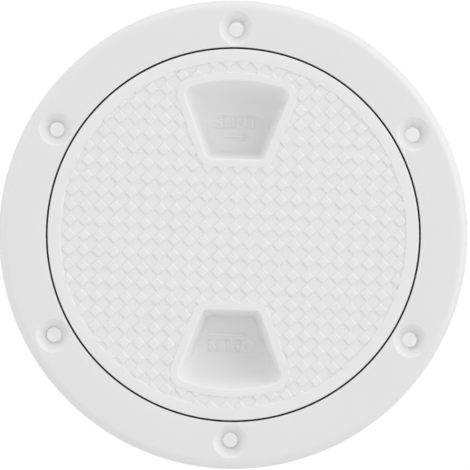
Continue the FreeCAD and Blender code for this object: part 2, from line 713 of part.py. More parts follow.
def edge_diamonds(doc, field, centres, sizes, fits):
    """Build the diamonds that meet the rim or a lip, cut to the recess; mere slivers are left out."""
    least = sizes.tread_least * sizes.tread_height * sizes.tread_pitch**2
    pieces = []
    for centre in centres:
        cut = diamond_solid(sizes, fits, centre).common(field.Shape)
        pieces += [piece for piece in cut.Solids if piece.Volume > least]
    diamonds = doc.addObject("Part::Feature", "edge_diamonds")
    diamonds.Shape = Part.makeCompound(pieces)
    return diamonds


def facing(face, outward):
    """Return a flat face with its outer side turned the way a vector points."""
    return face if face.normalAt(0, 0).dot(outward) > 0 else face.reversed()


def stand_whole_diamonds(shape, plate, centres, sizes, fits):
    """Stand whole diamonds on the plate: it is opened at their feet, and they close it again."""
    feet, faces = [], []
    for centre in centres:
        flanks_and_top, foot = diamond_faces(sizes, fits, centre, fits.tread_base)
        feet.append(foot)
        faces += flanks_and_top
    opened = facing(Part.Face([*plate.Wires, *feet], "Part::FaceMakerBullseye"), FreeCAD.Vector(0, 0, 1))
    kept = [face for face in shape.Faces if not face.isSame(plate)]
    return Part.makeSolid(Part.makeShell([*kept, opened, *faces]))


def screw_lid(doc, sizes, fits):
    """Build the lid: the blank with its cups, wells and tread recess, and the raised diamonds."""
    cup_wedges = well_wedges(doc, "cup_wedges", "sizes.well_wall", "fits.cup_under")
    cupped = doc.addObject("Part::Fuse", "cupped_lid")
    cupped.Base = lid_blank(doc)
    cupped.Tool = shared(doc, "cups", [cup_wedges, cup_slope(doc)])
    wedges = well_wedges(doc, "well_wedges", "0", "fits.well_floor")
    hollow = doc.addObject("Part::Cut", "hollow_lid")
    hollow.Base = cupped
    hollow.Tool = shared(doc, "wells", [wedges, well_sweep(doc), well_mouths(doc)])
    field = tread_field(doc)
    recessed = doc.addObject("Part::Cut", "recessed_lid")
    recessed.Base = hollow
    recessed.Tool = field
    doc.recompute()
    plate = widest_face(recessed.Shape, fits.tread_base)
    whole, crossing = sort_diamonds(plate, sizes, fits)
    edged = doc.addObject("Part::Fuse", "edged_lid")
    edged.Base = recessed
    edged.Tool = edge_diamonds(doc, field, crossing, sizes, fits)
    doc.recompute()
    lid = doc.addObject("Part::Feature", "screw_lid")
    plate = widest_face(edged.Shape, fits.tread_base)
    lid.Shape = stand_whole_diamonds(edged.Shape, plate, whole, sizes, fits)
    turn = FreeCAD.Rotation(FreeCAD.Vector(0, 0, 1), sizes.lid_rest_turn)
    lid.Placement = FreeCAD.Placement(FreeCAD.Vector(), turn)
    return lid


def check_objects(doc):
    """Stop if any object of the document failed to build."""
    for item in doc.Objects:
        if "Invalid" in item.State or "Error" in item.State:
            raise RuntimeError(f"{item.Label} did not build: {item.State}")


def write_pieces(pieces):
    """Check each piece and write it to its own file, named after its label."""
    os.makedirs("parts", exist_ok=True)
    for piece in pieces:
        shape = piece.Shape
        if shape.isNull() or not shape.isValid() or len(shape.Solids) != 1:
            raise RuntimeError(f"{piece.Label} is not one sound solid")
        shape.exportStep(os.path.join("parts", f"{piece.Label}.step"))
        print(f"{piece.Label}: {shape.Volume:.0f} mm3, {len(shape.Faces)} faces")


def main():
    """Build the document and write every piece."""
    doc = FreeCAD.newDocument("deck_inspection_plate")
    sizes, fits = write_sizes(doc)
    pieces = [mounting_ring(doc, sizes), rim_seal(doc), screw_lid(doc, sizes, fits)]
    doc.recompute()
    check_objects(doc)
    write_pieces(pieces)


main()
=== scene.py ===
"""Deck inspection plate: the looks of its mounting ring, its seal and its screw-in lid.

Sizes are in millimetres and angles in degrees, and meshes are turned to metres as they are finished.
The origin is the centre of the ring, in the plane of the deck that the flange lies on. +Z points up
out of the deck, and +Y through a screw hole.
"""
import logging
import math
from abc import ABC, abstractmethod
from collections.abc import Iterable, Sequence
from dataclasses import dataclass
from enum import Enum
from typing import NamedTuple

import bmesh
import bpy
from bpy.types import Material, Mesh, NodeSocket, NodeTree, Object
from mathutils import Matrix, Vector


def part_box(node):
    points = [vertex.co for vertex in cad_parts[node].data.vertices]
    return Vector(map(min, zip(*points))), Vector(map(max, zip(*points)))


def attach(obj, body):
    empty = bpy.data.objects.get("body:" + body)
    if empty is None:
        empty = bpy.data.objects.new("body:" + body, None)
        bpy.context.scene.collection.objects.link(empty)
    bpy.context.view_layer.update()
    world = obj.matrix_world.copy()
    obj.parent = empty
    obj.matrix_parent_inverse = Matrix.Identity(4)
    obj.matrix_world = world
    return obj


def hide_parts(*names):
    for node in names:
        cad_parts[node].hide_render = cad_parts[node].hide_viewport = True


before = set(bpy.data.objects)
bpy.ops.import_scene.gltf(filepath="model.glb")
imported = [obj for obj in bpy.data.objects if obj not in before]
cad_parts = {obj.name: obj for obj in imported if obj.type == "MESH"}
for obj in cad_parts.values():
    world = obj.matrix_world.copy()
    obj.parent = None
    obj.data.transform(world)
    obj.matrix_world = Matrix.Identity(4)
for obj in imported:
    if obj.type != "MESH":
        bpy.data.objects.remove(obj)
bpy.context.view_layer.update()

LOG = logging.getLogger("deck_inspection_plate")
MM = 0.001
AXIS = Vector((0, 0))
WHITE = (1.0, 1.0, 1.0, 1.0)
# How far off the guide points lie that only give the first or last round of a section its direction.
GUIDE = 1.0
# Corners that lie closer than this are one.
WELD = 0.0005
RIB_DRAFT = 1.5

Loop = list[bmesh.types.BMVert]
Outline = list[Vector]
Colour = tuple[float, float, float, float]
Inputs = dict[str | int, object]
Outputs = bpy.types.bpy_prop_collection


class Body(Enum):
    """The bodies that the pieces ride on, each with the name of a slot for its finish."""

    RING = ("ring", "ring_plastic")
    LID = ("lid", "lid_plastic")


class Facing(Enum):
    """The side of its wall that a thread ridge stands on."""

    INWARD = -1
    OUTWARD = 1


class Corner(NamedTuple):
    """A corner of a section: how far out it lies, its level, and the radius that softens it."""

    out: float
    up: float
    soft: float = 0.0


# Outlines


def arc_points(centre: Vector, radius: float, first: float, last: float, steps: int) -> Outline:
    """Divide an arc evenly.

    Args:
        centre: The arc's centre.
        radius: Its radius.
        first: The angle at which it starts.
        last: The angle at which it ends.
        steps: How many parts it gets.

    Returns:
        Its points, with both ends.
    """
    angles = [math.radians(first + (last - first) * step / steps) for step in range(steps + 1)]
    return [centre + radius * Vector((math.cos(angle), math.sin(angle))) for angle in angles]


def soft_path(corners: Sequence[Corner], steps: int = 6) -> Outline:
    """Walk along the corners of a section, and round those that are soft.

    Args:
        corners: The corners in order, both ends among them.
        steps: How many parts each round gets.

    Returns:
        The points of the path: how far out, and the level.
    """
    points = [Vector((corner.out, corner.up)) for corner in corners]
    path = [points[0]]
    for before, here, after, corner in zip(points, points[1:], points[2:], corners[1:]):
        if not corner.soft:
            path.append(here)
            continue
        back, onward = (before - here).normalized(), (after - here).normalized()
        half = back.angle(onward) / 2
        centre = here + (back + onward).normalized() * corner.soft / math.sin(half)
        start = here + back * corner.soft / math.tan(half) - centre
        end = here + onward * corner.soft / math.tan(half) - centre
        spread = start.angle(end)
        for step in range(steps + 1):
            part = spread * step / steps
            path.append(centre + (start * math.sin(spread - part) + end * math.sin(part)) / math.sin(spread))
    path.append(points[-1])
    return path


def lifted(points: Iterable[Vector], level: float) -> Outline:
    """Put flat points at a level."""
    return [Vector((point.x, point.y, level)) for point in points]


def closed(points: Sequence) -> zip:
    """Pair each point of a closed outline with the next."""
    return zip(points, [*points[1:], points[0]])


# Meshes


class Shell:
    """A surface in the making, put together from loops of points and the faces between them."""

    def __init__(self) -> None:
        """Start with no faces."""
        self.mesh = bmesh.new()

    def loop(self, points: Iterable[Vector]) -> Loop:
        """Add the corners of a closed outline."""
        return [self.mesh.verts.new(point) for point in points]

    def bands(self, loops: Sequence[Loop]) -> None:
        """Join a row of loops, each to the next, with closed bands of smooth faces.

        Args:
            loops: The loops, with the same number of corners each.
        """
        for here, there in zip(loops, loops[1:]):
            for at in range(len(here)):
                after = (at + 1) % len(here)
                self.mesh.faces.new((here[at], here[after], there[after], there[at])).smooth = True

    def turned(self, path: Iterable[Vector], centre: Vector = AXIS, corners: int = 256) -> list[Loop]:
        """Turn a section round an upright axis.

        Args:
            path: The section's points: distance from the axis, and level.
            centre: Where the axis stands, seen from above.
            corners: How many corners each circle gets.

        Returns:
            The circles, in the section's order.
        """
        circles = [lifted(arc_points(centre, spot.x, 0, 360, corners)[:-1], spot.y) for spot in path]
        loops = [self.loop(circle) for circle in circles]
        self.bands(loops)
        return loops

    def sheet(self, *loops: Loop) -> None:
        """Fill a level area.

        Args:
            *loops: The loop round it, and the loops of its holes.
        """
        edges = []
        for loop in loops:
            for here, there in closed(loop):
                edges.append(self.mesh.edges.get((here, there)) or self.mesh.edges.new((here, there)))
        bmesh.ops.triangle_fill(self.mesh, edges=edges, use_beauty=True, normal=(0, 0, 1))

    def prism(self, stations: Sequence[Loop]) -> None:
        """Join a row of loops and close both ends.

        Args:
            stations: The loops.
        """
        self.bands(stations)
        for end in (stations[0], stations[-1]):
            self.mesh.faces.new(end)

    def bowl(self, outlines: Iterable[Outline], side: int) -> Loop:
        """Join a row of outlines, and close the last.

        Args:
            outlines: The outlines.
            side: 1 for the side of +Y, and -1 for the one across from it.

        Returns:
            The first outline's corners.
        """
        turn = Matrix.Diagonal((side, side, 1))
        loops = [self.loop(turn @ point for point in outline) for outline in outlines]
        self.bands(loops)
        self.sheet(loops[-1])
        return loops[0]

    def finish(self, name: str, turn: float = 0.0, crease: float = 32.0) -> Mesh:
        """Close the seams, face everything outwards and turn the sizes to metres.

        Args:
            name: The mesh's name.
            turn: How far it is turned round +Z.
            crease: The angle from which an edge between smooth faces looks sharp.

        Returns:
            The finished mesh.
        """
        bmesh.ops.remove_doubles(self.mesh, verts=self.mesh.verts, dist=WELD)
        bmesh.ops.recalc_face_normals(self.mesh, faces=self.mesh.faces)
        self.mesh.transform(Matrix.Rotation(math.radians(turn), 4, "Z") @ Matrix.Scale(MM, 4))
        mesh = bpy.data.meshes.new(name)
        self.mesh.to_mesh(mesh)
        self.mesh.free()
        mesh.set_sharp_from_angle(angle=math.radians(crease))
        return mesh


def spun(mesh: Mesh, turn: float) -> Mesh:
    """Turn a mesh round +Z."""
    mesh.transform(Matrix.Rotation(math.radians(turn), 4, "Z"))
    return mesh


def joined(mesh: Mesh, other: Mesh) -> Mesh:
    """Add a mesh to another.

    Args:
        mesh: The mesh that takes the other up.
        other: The other.

    Returns:
        The first mesh, with both.
    """
    both = bmesh.new()
    both.from_mesh(mesh)
    both.from_mesh(other)
    both.to_mesh(mesh)
    both.free()
    return mesh


def bar(name: str, start: float, end: float, width: float, low: float, high: float) -> Mesh:
    """Build a straight rib along X, a little narrower at its foot, as moulded ribs are.

    Args:
        name: The mesh's name.
        start: The distance at which it starts.
        end: The distance at which it ends.
        width: Its thickness at the top.
        low: The level of its foot.
        high: The level of its top.

    Returns:
        The mesh.
    """
    shell = Shell()
    half = width / 2
    foot = half - math.tan(math.radians(RIB_DRAFT)) * (high - low)
    ends = []
    for across in (start, end):
        corners = [(across, -half, high), (across, half, high), (across, foot, low), (across, -foot, low)]
        ends.append(shell.loop(Vector(corner) for corner in corners))
    shell.prism(ends)
    return shell.finish(name)


def stand(name: str, data: Mesh | bpy.types.Light | bpy.types.Camera) -> Object:
    """Put an object in the scene.

    Args:
        name: Its name.
        data: What it shows.

    Returns:
        The object.
    """
    thing = bpy.data.objects.new(name, data)
    bpy.context.scene.collection.objects.link(thing)
    return thing


def place(mesh: Mesh, body: Body, material: Material, stands_for: str = "") -> None:
    """Put a finished mesh in the scene, on its body and with its finish.

    Args:
        mesh: The finished mesh, whose name the piece takes.
        body: The body that it rides on.
        material: The finish.
        stands_for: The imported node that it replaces, if any.
    """
    piece = stand(mesh.name, mesh)
    mesh.materials.clear()
    mesh.materials.append(material)
    carrier, slot = body.value
    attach(piece, carrier)
    if stands_for:
        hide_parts(stands_for)
    LOG.info("%s: %d faces, on %s", piece.name, len(mesh.polygons), carrier)


# Node trees


def add_node(tree: NodeTree, kind: str, inputs: Inputs | None = None, **settings: object) -> Outputs:
    """Add a node.

    Args:
        tree: The tree that gets it.
        kind: Its type name.
        inputs: What its inputs get, by name or number: a socket is linked, and a value is set.
        **settings: Its own properties.

    Returns:
        Its outputs.
    """
    node = tree.nodes.new(kind)
    for name, setting in settings.items():
        setattr(node, name, setting)
    for key, given in (inputs or {}).items():
        if isinstance(given, NodeSocket):
            tree.links.new(given, node.inputs[key])
        else:
            node.inputs[key].default_value = given
    return node.outputs


class Pattern:
    """A Geometry Nodes tree with named inputs, for a shape that repeats or follows a path."""

    def __init__(self, name: str, inputs: dict[str, str]) -> None:
        """Start a tree.

        Args:
            name: The tree's name.
            inputs: The kind of each named input, besides the shape and the material.
        """
        self.tree = bpy.data.node_groups.new(name, "GeometryNodeTree")
        for label, kind in {"Shape": "Geometry", "Material": "Material", **inputs}.items():
            self.tree.interface.new_socket(label, in_out="INPUT", socket_type=f"NodeSocket{kind}")
        self.tree.interface.new_socket("Shape", in_out="OUTPUT", socket_type="NodeSocketGeometry")
        self.given = self.add("NodeGroupInput")

    def add(self, kind: str, inputs: Inputs | None = None, **settings: object) -> Outputs:
        """Add a node to the tree, and return its outputs."""
        return add_node(self.tree, kind, inputs, **settings)

    def close(self, shape: NodeSocket) -> "Pattern":
        """End the tree: the shape is made real and gets its material.

        Args:
            shape: The shape.

        Returns:
            The pattern itself.
        """
        real = self.add("GeometryNodeRealizeInstances", {"Geometry": shape})["Geometry"]
        inputs = {"Geometry": real, "Material": self.given["Material"]}
        painted = self.add("GeometryNodeSetMaterial", inputs)["Geometry"]
        self.add("NodeGroupOutput", {"Shape": painted})
        return self

    def grow(self, name: str, seed: Mesh, material: Material, values: dict[str, object]) -> Mesh:
        """Run the tree and keep what it makes as a plain mesh.

        Args:
            name: The new mesh's name.
            seed: The mesh that goes into the tree as its shape.
            material: The finish.
            values: The values of the named inputs.

        Returns:
            The plain mesh.
        """
        carrier = stand(name, seed)
        modifier = carrier.modifiers.new("pattern", "NODES")
        modifier.node_group = self.tree
        given = {"Material": material, **values}
        for item in self.tree.interface.items_tree:
            if item.in_out == "INPUT" and item.name in given:
                modifier[item.identifier] = given[item.name]
        grown = carrier.evaluated_get(bpy.context.evaluated_depsgraph_get())
        mesh = bpy.data.meshes.new_from_object(grown)
        carrier.modifiers.remove(modifier)
        bpy.data.objects.remove(carrier)
        mesh.name = name
        return mesh


def round_pattern() -> Pattern:
    """Make the tree that repeats a shape round the upright axis.

    Returns:
        The tree. Its inputs are the count, the first copy's angle and the angle between copies.
    """
    pattern = Pattern("repeat_round", {"Count": "Int", "First": "Float", "Step": "Float"})
    given = pattern.given
    spots = pattern.add("GeometryNodeMeshLine", {"Offset": (0, 0, 0), "Count": given["Count"]})
    number = pattern.add("GeometryNodeInputIndex")["Index"]
    inputs = {0: number, 1: given["Step"], 2: given["First"]}
    angle = pattern.add("ShaderNodeMath", inputs, operation="MULTIPLY_ADD")["Value"]
    about = pattern.add("ShaderNodeCombineXYZ", {"Z": angle})["Vector"]
    turn = pattern.add("FunctionNodeEulerToRotation", {"Euler": about})["Rotation"]
    inputs = {"Points": spots["Mesh"], "Instance": given["Shape"], "Rotation": turn}
    return pattern.close(pattern.add("GeometryNodeInstanceOnPoints", inputs)["Instances"])


def tread_pattern() -> Pattern:
    """Make the tree that stands one raised shape on every given spot.

    Returns:
        The tree. Its shape is the spots, and its input is the object that is repeated.
    """
    pattern = Pattern("raised_tread", {"Diamond": "Object"})
    diamond = pattern.add("GeometryNodeObjectInfo", {"Object": pattern.given["Diamond"]})["Geometry"]
    inputs = {"Points": pattern.given["Shape"], "Instance": diamond}
    return pattern.close(pattern.add("GeometryNodeInstanceOnPoints", inputs)["Instances"])


def thread_pattern() -> Pattern:
    """Make the tree that winds a ridge round the upright axis, with both of its ends run out.

    Returns:
        The tree. Its shape is the ridge's section, as a closed outline: out from the wall along X,
        and up along Y.
    """
    floats = dict.fromkeys(("Radius", "Turns", "Rise", "Start", "Run Out"), "Float")
    pattern = Pattern("thread_ridge", {**floats, "Steps": "Int"})
    given = pattern.given
    inputs = {
        "Resolution": given["Steps"],
        "Rotations": given["Turns"],
        "Start Radius": given["Radius"],
        "End Radius": given["Radius"],
        "Height": given["Rise"],
    }
    winding = pattern.add("GeometryNodeCurveSpiral", inputs)["Curve"]
    along = pattern.add("GeometryNodeSplineParameter")["Length"]
    length = pattern.add("GeometryNodeSplineLength")["Length"]
    ahead = pattern.add("ShaderNodeMath", {0: length, 1: along}, operation="SUBTRACT")["Value"]
    nearest = pattern.add("ShaderNodeMath", {0: along, 1: ahead}, operation="MINIMUM")["Value"]
    inputs = {"Value": nearest, "From Max": given["Run Out"], "To Min": 0.05, "To Max": 1.0}
    grown = pattern.add("ShaderNodeMapRange", inputs, interpolation_type="SMOOTHSTEP")["Result"]
    sized = pattern.add("GeometryNodeSetCurveRadius", {"Curve": winding, "Radius": grown})["Curve"]
    upright = pattern.add("GeometryNodeSetCurveNormal", {"Curve": sized}, mode="Z_UP")["Curve"]
    section = pattern.add("GeometryNodeMeshToCurve", {"Mesh": given["Shape"]})["Curve"]
    inputs = {"Fill Caps": True, "Curve": upright, "Profile Curve": section}
    ridge = pattern.add("GeometryNodeCurveToMesh", inputs)["Mesh"]
    lift = pattern.add("ShaderNodeCombineXYZ", {"Z": given["Start"]})["Vector"]
    return pattern.close(
        pattern.add("GeometryNodeTransform", {"Geometry": ridge, "Translation": lift})["Geometry"]
    )


# Finishes


def linear(hex_colour: str) -> Colour:
    """Turn an sRGB hex colour to linear red, green, blue and alpha.

    Args:
        hex_colour: Six hex digits, such as "E9E9E7".

    Returns:
        The linear colour, with an alpha of 1.
    """
    channels = [int(hex_colour[at : at + 2], 16) / 255 for at in (0, 2, 4)]
    spread = [c / 12.92 if c <= 0.04045 else ((c + 0.055) / 1.055) ** 2.4 for c in channels]
    return (spread[0], spread[1], spread[2], 1.0)


def add_mottle(
    tree: NodeTree, spot: NodeSocket, colours: tuple[str, str], size: float, detail: float
) -> tuple[NodeSocket, NodeSocket]:
    """Blend two colours by slow noise.

    Args:
        tree: The tree that gets the nodes.
        spot: The place on the object.
        colours: The two sRGB hex colours.
        size: The size of the clouds.
        detail: How much detail they have.

    Returns:
        The blended colour, and the noise by itself.
    """
    inputs = {"Scale": 1 / (size * MM), "Detail": detail, "Vector": spot}
    noise = add_node(tree, "ShaderNodeTexNoise", inputs)["Fac"]
    inputs = {"Factor": noise, 6: linear(colours[0]), 7: linear(colours[1])}
    return add_node(tree, "ShaderNodeMix", inputs, data_type="RGBA")[2], noise


def add_grain(tree: NodeTree, spot: NodeSocket, size: float, height: float, detail: float) -> NodeSocket:
    """Roughen a surface by fine noise.

    Args:
        tree: The tree that gets the nodes.
        spot: The place on the object.
        size: The size of the grains.
        height: How high they stand.
        detail: How much detail they have.

    Returns:
        The surface's normal.
    """
    inputs = {"Scale": 1 / (size * MM), "Detail": detail, "Vector": spot}
    noise = add_node(tree, "ShaderNodeTexNoise", inputs)["Fac"]
    return add_node(tree, "ShaderNodeBump", {"Distance": height * MM, "Height": noise})["Normal"]


def add_seen(tree: NodeTree) -> NodeSocket:
    """Tell the rays that look at the backdrop from those that only carry its light.

    Args:
        tree: The tree that gets the nodes.

    Returns:
        A socket that is 1 for camera, glossy and transmission rays, and 0 for the rest.
    """
    rays = add_node(tree, "ShaderNodeLightPath")
    seen = rays["Is Camera Ray"]
    for kind in ("Is Glossy Ray", "Is Transmission Ray"):
        seen = add_node(tree, "ShaderNodeMath", {0: seen, 1: rays[kind]}, operation="MAXIMUM")["Value"]
    return seen


@dataclass(frozen=True)
class Finish(ABC):
    """A surface finish of the real object, as a node material."""

    name: str

    def build(self) -> Material:
        """Make the node material.

        Returns:
            The material.
        """
        material = bpy.data.materials.new(self.name)
        material.use_nodes = True
        tree = material.node_tree
        tree.nodes.clear()
        surface = self.surface(tree, add_node(tree, "ShaderNodeTexCoord")["Object"])
        add_node(tree, "ShaderNodeOutputMaterial", {"Surface": surface})
        return material

    @abstractmethod
    def surface(self, tree: NodeTree, spot: NodeSocket) -> NodeSocket:
        """Add the nodes of the surface.

        Args:
            tree: The material's tree.
            spot: The place on the object.

        Returns:
            The surface's shader.
        """


@dataclass(frozen=True)
class MouldedPlastic(Finish):
    """White ASA, injection moulded in a polished tool.

    To the eye it is a clean white with a satin gloss: the edges catch soft bright lines, and a
    faint orange peel and slow clouds in the gloss keep the flat faces from looking drawn.
    """

    colour: str = "F1F1F1"
    shade: str = "EFEFEF"
    roughness: float = 0.33
    cloudiness: float = 0.03
    ior: float = 1.5
    cloud_size: float = 30.0
    peel_size: float = 1.6
    peel_height: float = 0.004
    glow_weight: float = 0.3
    glow_depth: float = 0.5

    def surface(self, tree: NodeTree, spot: NodeSocket) -> NodeSocket:
        """Blend the colour and the gloss by slow clouds, over a faint orange peel.

        Args:
            tree: The material's tree.
            spot: The place on the object.

        Returns:
            The surface's shader.
        """
        colour, clouds = add_mottle(tree, spot, (self.colour, self.shade), self.cloud_size, 2.0)
        inputs = {
            "Value": clouds,
            "From Min": 0.3,
            "From Max": 0.7,
            "To Min": self.roughness - self.cloudiness,
            "To Max": self.roughness + self.cloudiness,
        }
        gloss = add_node(tree, "ShaderNodeMapRange", inputs)["Result"]
        inputs = {
            "Base Color": colour,
            "Roughness": gloss,
            "Normal": add_grain(tree, spot, self.peel_size, self.peel_height, 1.0),
            "IOR": self.ior,
            "Subsurface Weight": self.glow_weight,
            "Subsurface Radius": (1.0, 1.0, 1.0),
            "Subsurface Scale": self.glow_depth * MM,
        }
        return add_node(tree, "ShaderNodeBsdfPrincipled", inputs)["BSDF"]


@dataclass(frozen=True)
class SealRubber(Finish):
    """Black nitrile rubber, moulded flat: matt and slightly grey, so that it only darkens the gap."""

    colour: str = "181818"
    bloom: str = "262625"
    roughness: float = 0.62
    ior: float = 1.5
    bloom_size: float = 4.0
    grain_size: float = 0.3
    grain_height: float = 0.01

    def surface(self, tree: NodeTree, spot: NodeSocket) -> NodeSocket:
        """Lay a pale bloom over the black, on a fine grain.

        Args:
            tree: The material's tree.
            spot: The place on the object.

        Returns:
            The surface's shader.
        """
        inputs = {
            "Base Color": add_mottle(tree, spot, (self.colour, self.bloom), self.bloom_size, 3.0)[0],
            "Normal": add_grain(tree, spot, self.grain_size, self.grain_height, 2.0),
            "IOR": self.ior,
            "Roughness": self.roughness,
        }
        return add_node(tree, "ShaderNodeBsdfPrincipled", inputs)["BSDF"]


@dataclass(frozen=True)
class PaperBackdrop(Finish):
    """White paper roll: the camera and reflections see it lit from within, so that it stays white."""

    colour: str = "D6D6D6"
    mottle: str = "D2D2D2"
    mottle_size: float = 40.0
    glow: float = 0.85
    # The weaker glow under the object: a painted shadow.
    painted_shadow_glow: float = 0.63
    shadow: float = 0.25
    # The radii over which the painted shadow under the object fades into the full glow.
    painted_shadow_radii: tuple[float, float] = (69.0, 75.0)

    def surface(self, tree: NodeTree, spot: NodeSocket) -> NodeSocket:
        """Add the paper's glow, weaker under the object as a painted shadow, and the shade for real shadows.

        Args:
            tree: The material's tree.
            spot: The place on the object.

        Returns:
            The surface's shader.
        """
        paper = add_mottle(tree, spot, (self.colour, self.mottle), self.mottle_size, 1.0)[0]
        matt = add_node(tree, "ShaderNodeBsdfDiffuse", {"Color": paper})["BSDF"]
        # The glow is weaker within the object's reach: a painted shadow under it.
        inputs = {
            "Value": add_node(tree, "ShaderNodeVectorMath", {0: spot}, operation="LENGTH")["Value"],
            "From Min": self.painted_shadow_radii[0] * MM,
            "From Max": self.painted_shadow_radii[1] * MM,
            "To Min": self.painted_shadow_glow,
            "To Max": self.glow,
        }
        strength = add_node(tree, "ShaderNodeMapRange", inputs)["Result"]
        glow = add_node(tree, "ShaderNodeEmission", {"Color": WHITE, "Strength": strength})["Emission"]
        tone = (self.shadow, self.shadow, self.shadow, 1)
        shade = add_node(tree, "ShaderNodeBsdfDiffuse", {"Color": tone})["BSDF"]
        lit = add_node(tree, "ShaderNodeAddShader", {0: glow, 1: shade})["Shader"]
        return add_node(tree, "ShaderNodeMixShader", {0: add_seen(tree), 1: matt, 2: lit})["Shader"]


# What both mouldings have


@dataclass
class ThreadRidge:
    """One coarse right-hand thread ridge, a trapezium in section, on a round wall."""

    wall: float
    facing: Facing
    start: float
    depth: float = 1.8
    foot: float = 2.2
    crest: float = 1.2
    crest_soft: float = 0.25
    pitch: float = 5.0
    turns: float = 1.5
    sunk: float = 0.2
    run_out: float = 9.0
    steps: int = 96

    def build(self, name: str, winder: Pattern, material: Material) -> Mesh:
        """Wind the ridge.

        Args:
            name: The mesh's name.
            winder: The tree that winds it.
            material: Its finish.

        Returns:
            The mesh.
        """
        shell = Shell()
        side = self.facing.value
        section = [
            Corner(-side * self.sunk, -self.foot / 2),
            Corner(side * self.depth, -self.crest / 2, self.crest_soft),
            Corner(side * self.depth, self.crest / 2, self.crest_soft),
            Corner(-side * self.sunk, self.foot / 2),
        ]
        # On either side of the wall it is walked the same way round, so that its faces look outwards.
        for pair in closed(shell.loop(lifted(soft_path(section, 3)[::side], 0))):
            shell.mesh.edges.new(pair)
        values = {
            "Radius": self.wall * MM,
            "Turns": self.turns,
            "Rise": self.turns * self.pitch * MM,
            "Start": self.start * MM,
            "Run Out": self.run_out * MM,
            "Steps": round(self.steps * self.turns),
        }
        return winder.grow(name, shell.finish(f"{name}_section"), material, values)


@dataclass
class Moulding:
    """A moulded part of the object: the body that it is, its finish, and the trees that it needs."""

    body: Body
    plastic: Material
    rounder: Pattern
    winder: Pattern

    def place(self, mesh: Mesh, stands_for: str = "") -> None:
        """Put one of its meshes in the scene."""
        place(mesh, self.body, self.plastic, stands_for)

    def repeat(self, name: str, seed: Mesh, count: int, first: float, step: float) -> Mesh:
        """Repeat a shape round its axis.

        Args:
            name: The new mesh's name.
            seed: The shape.
            count: How many there are.
            first: The first one's angle.
            step: The angle between them.

        Returns:
            The mesh of all of them.
        """
        values = {"Count": count, "First": math.radians(first), "Step": math.radians(step)}
        return self.rounder.grow(name, seed, self.plastic, values)

    def thread(self, name: str, wall: float, facing: Facing, start: float) -> Mesh:
        """Wind its thread."""
        return ThreadRidge(wall, facing, start).build(name, self.winder, self.plastic)


# The mounting ring


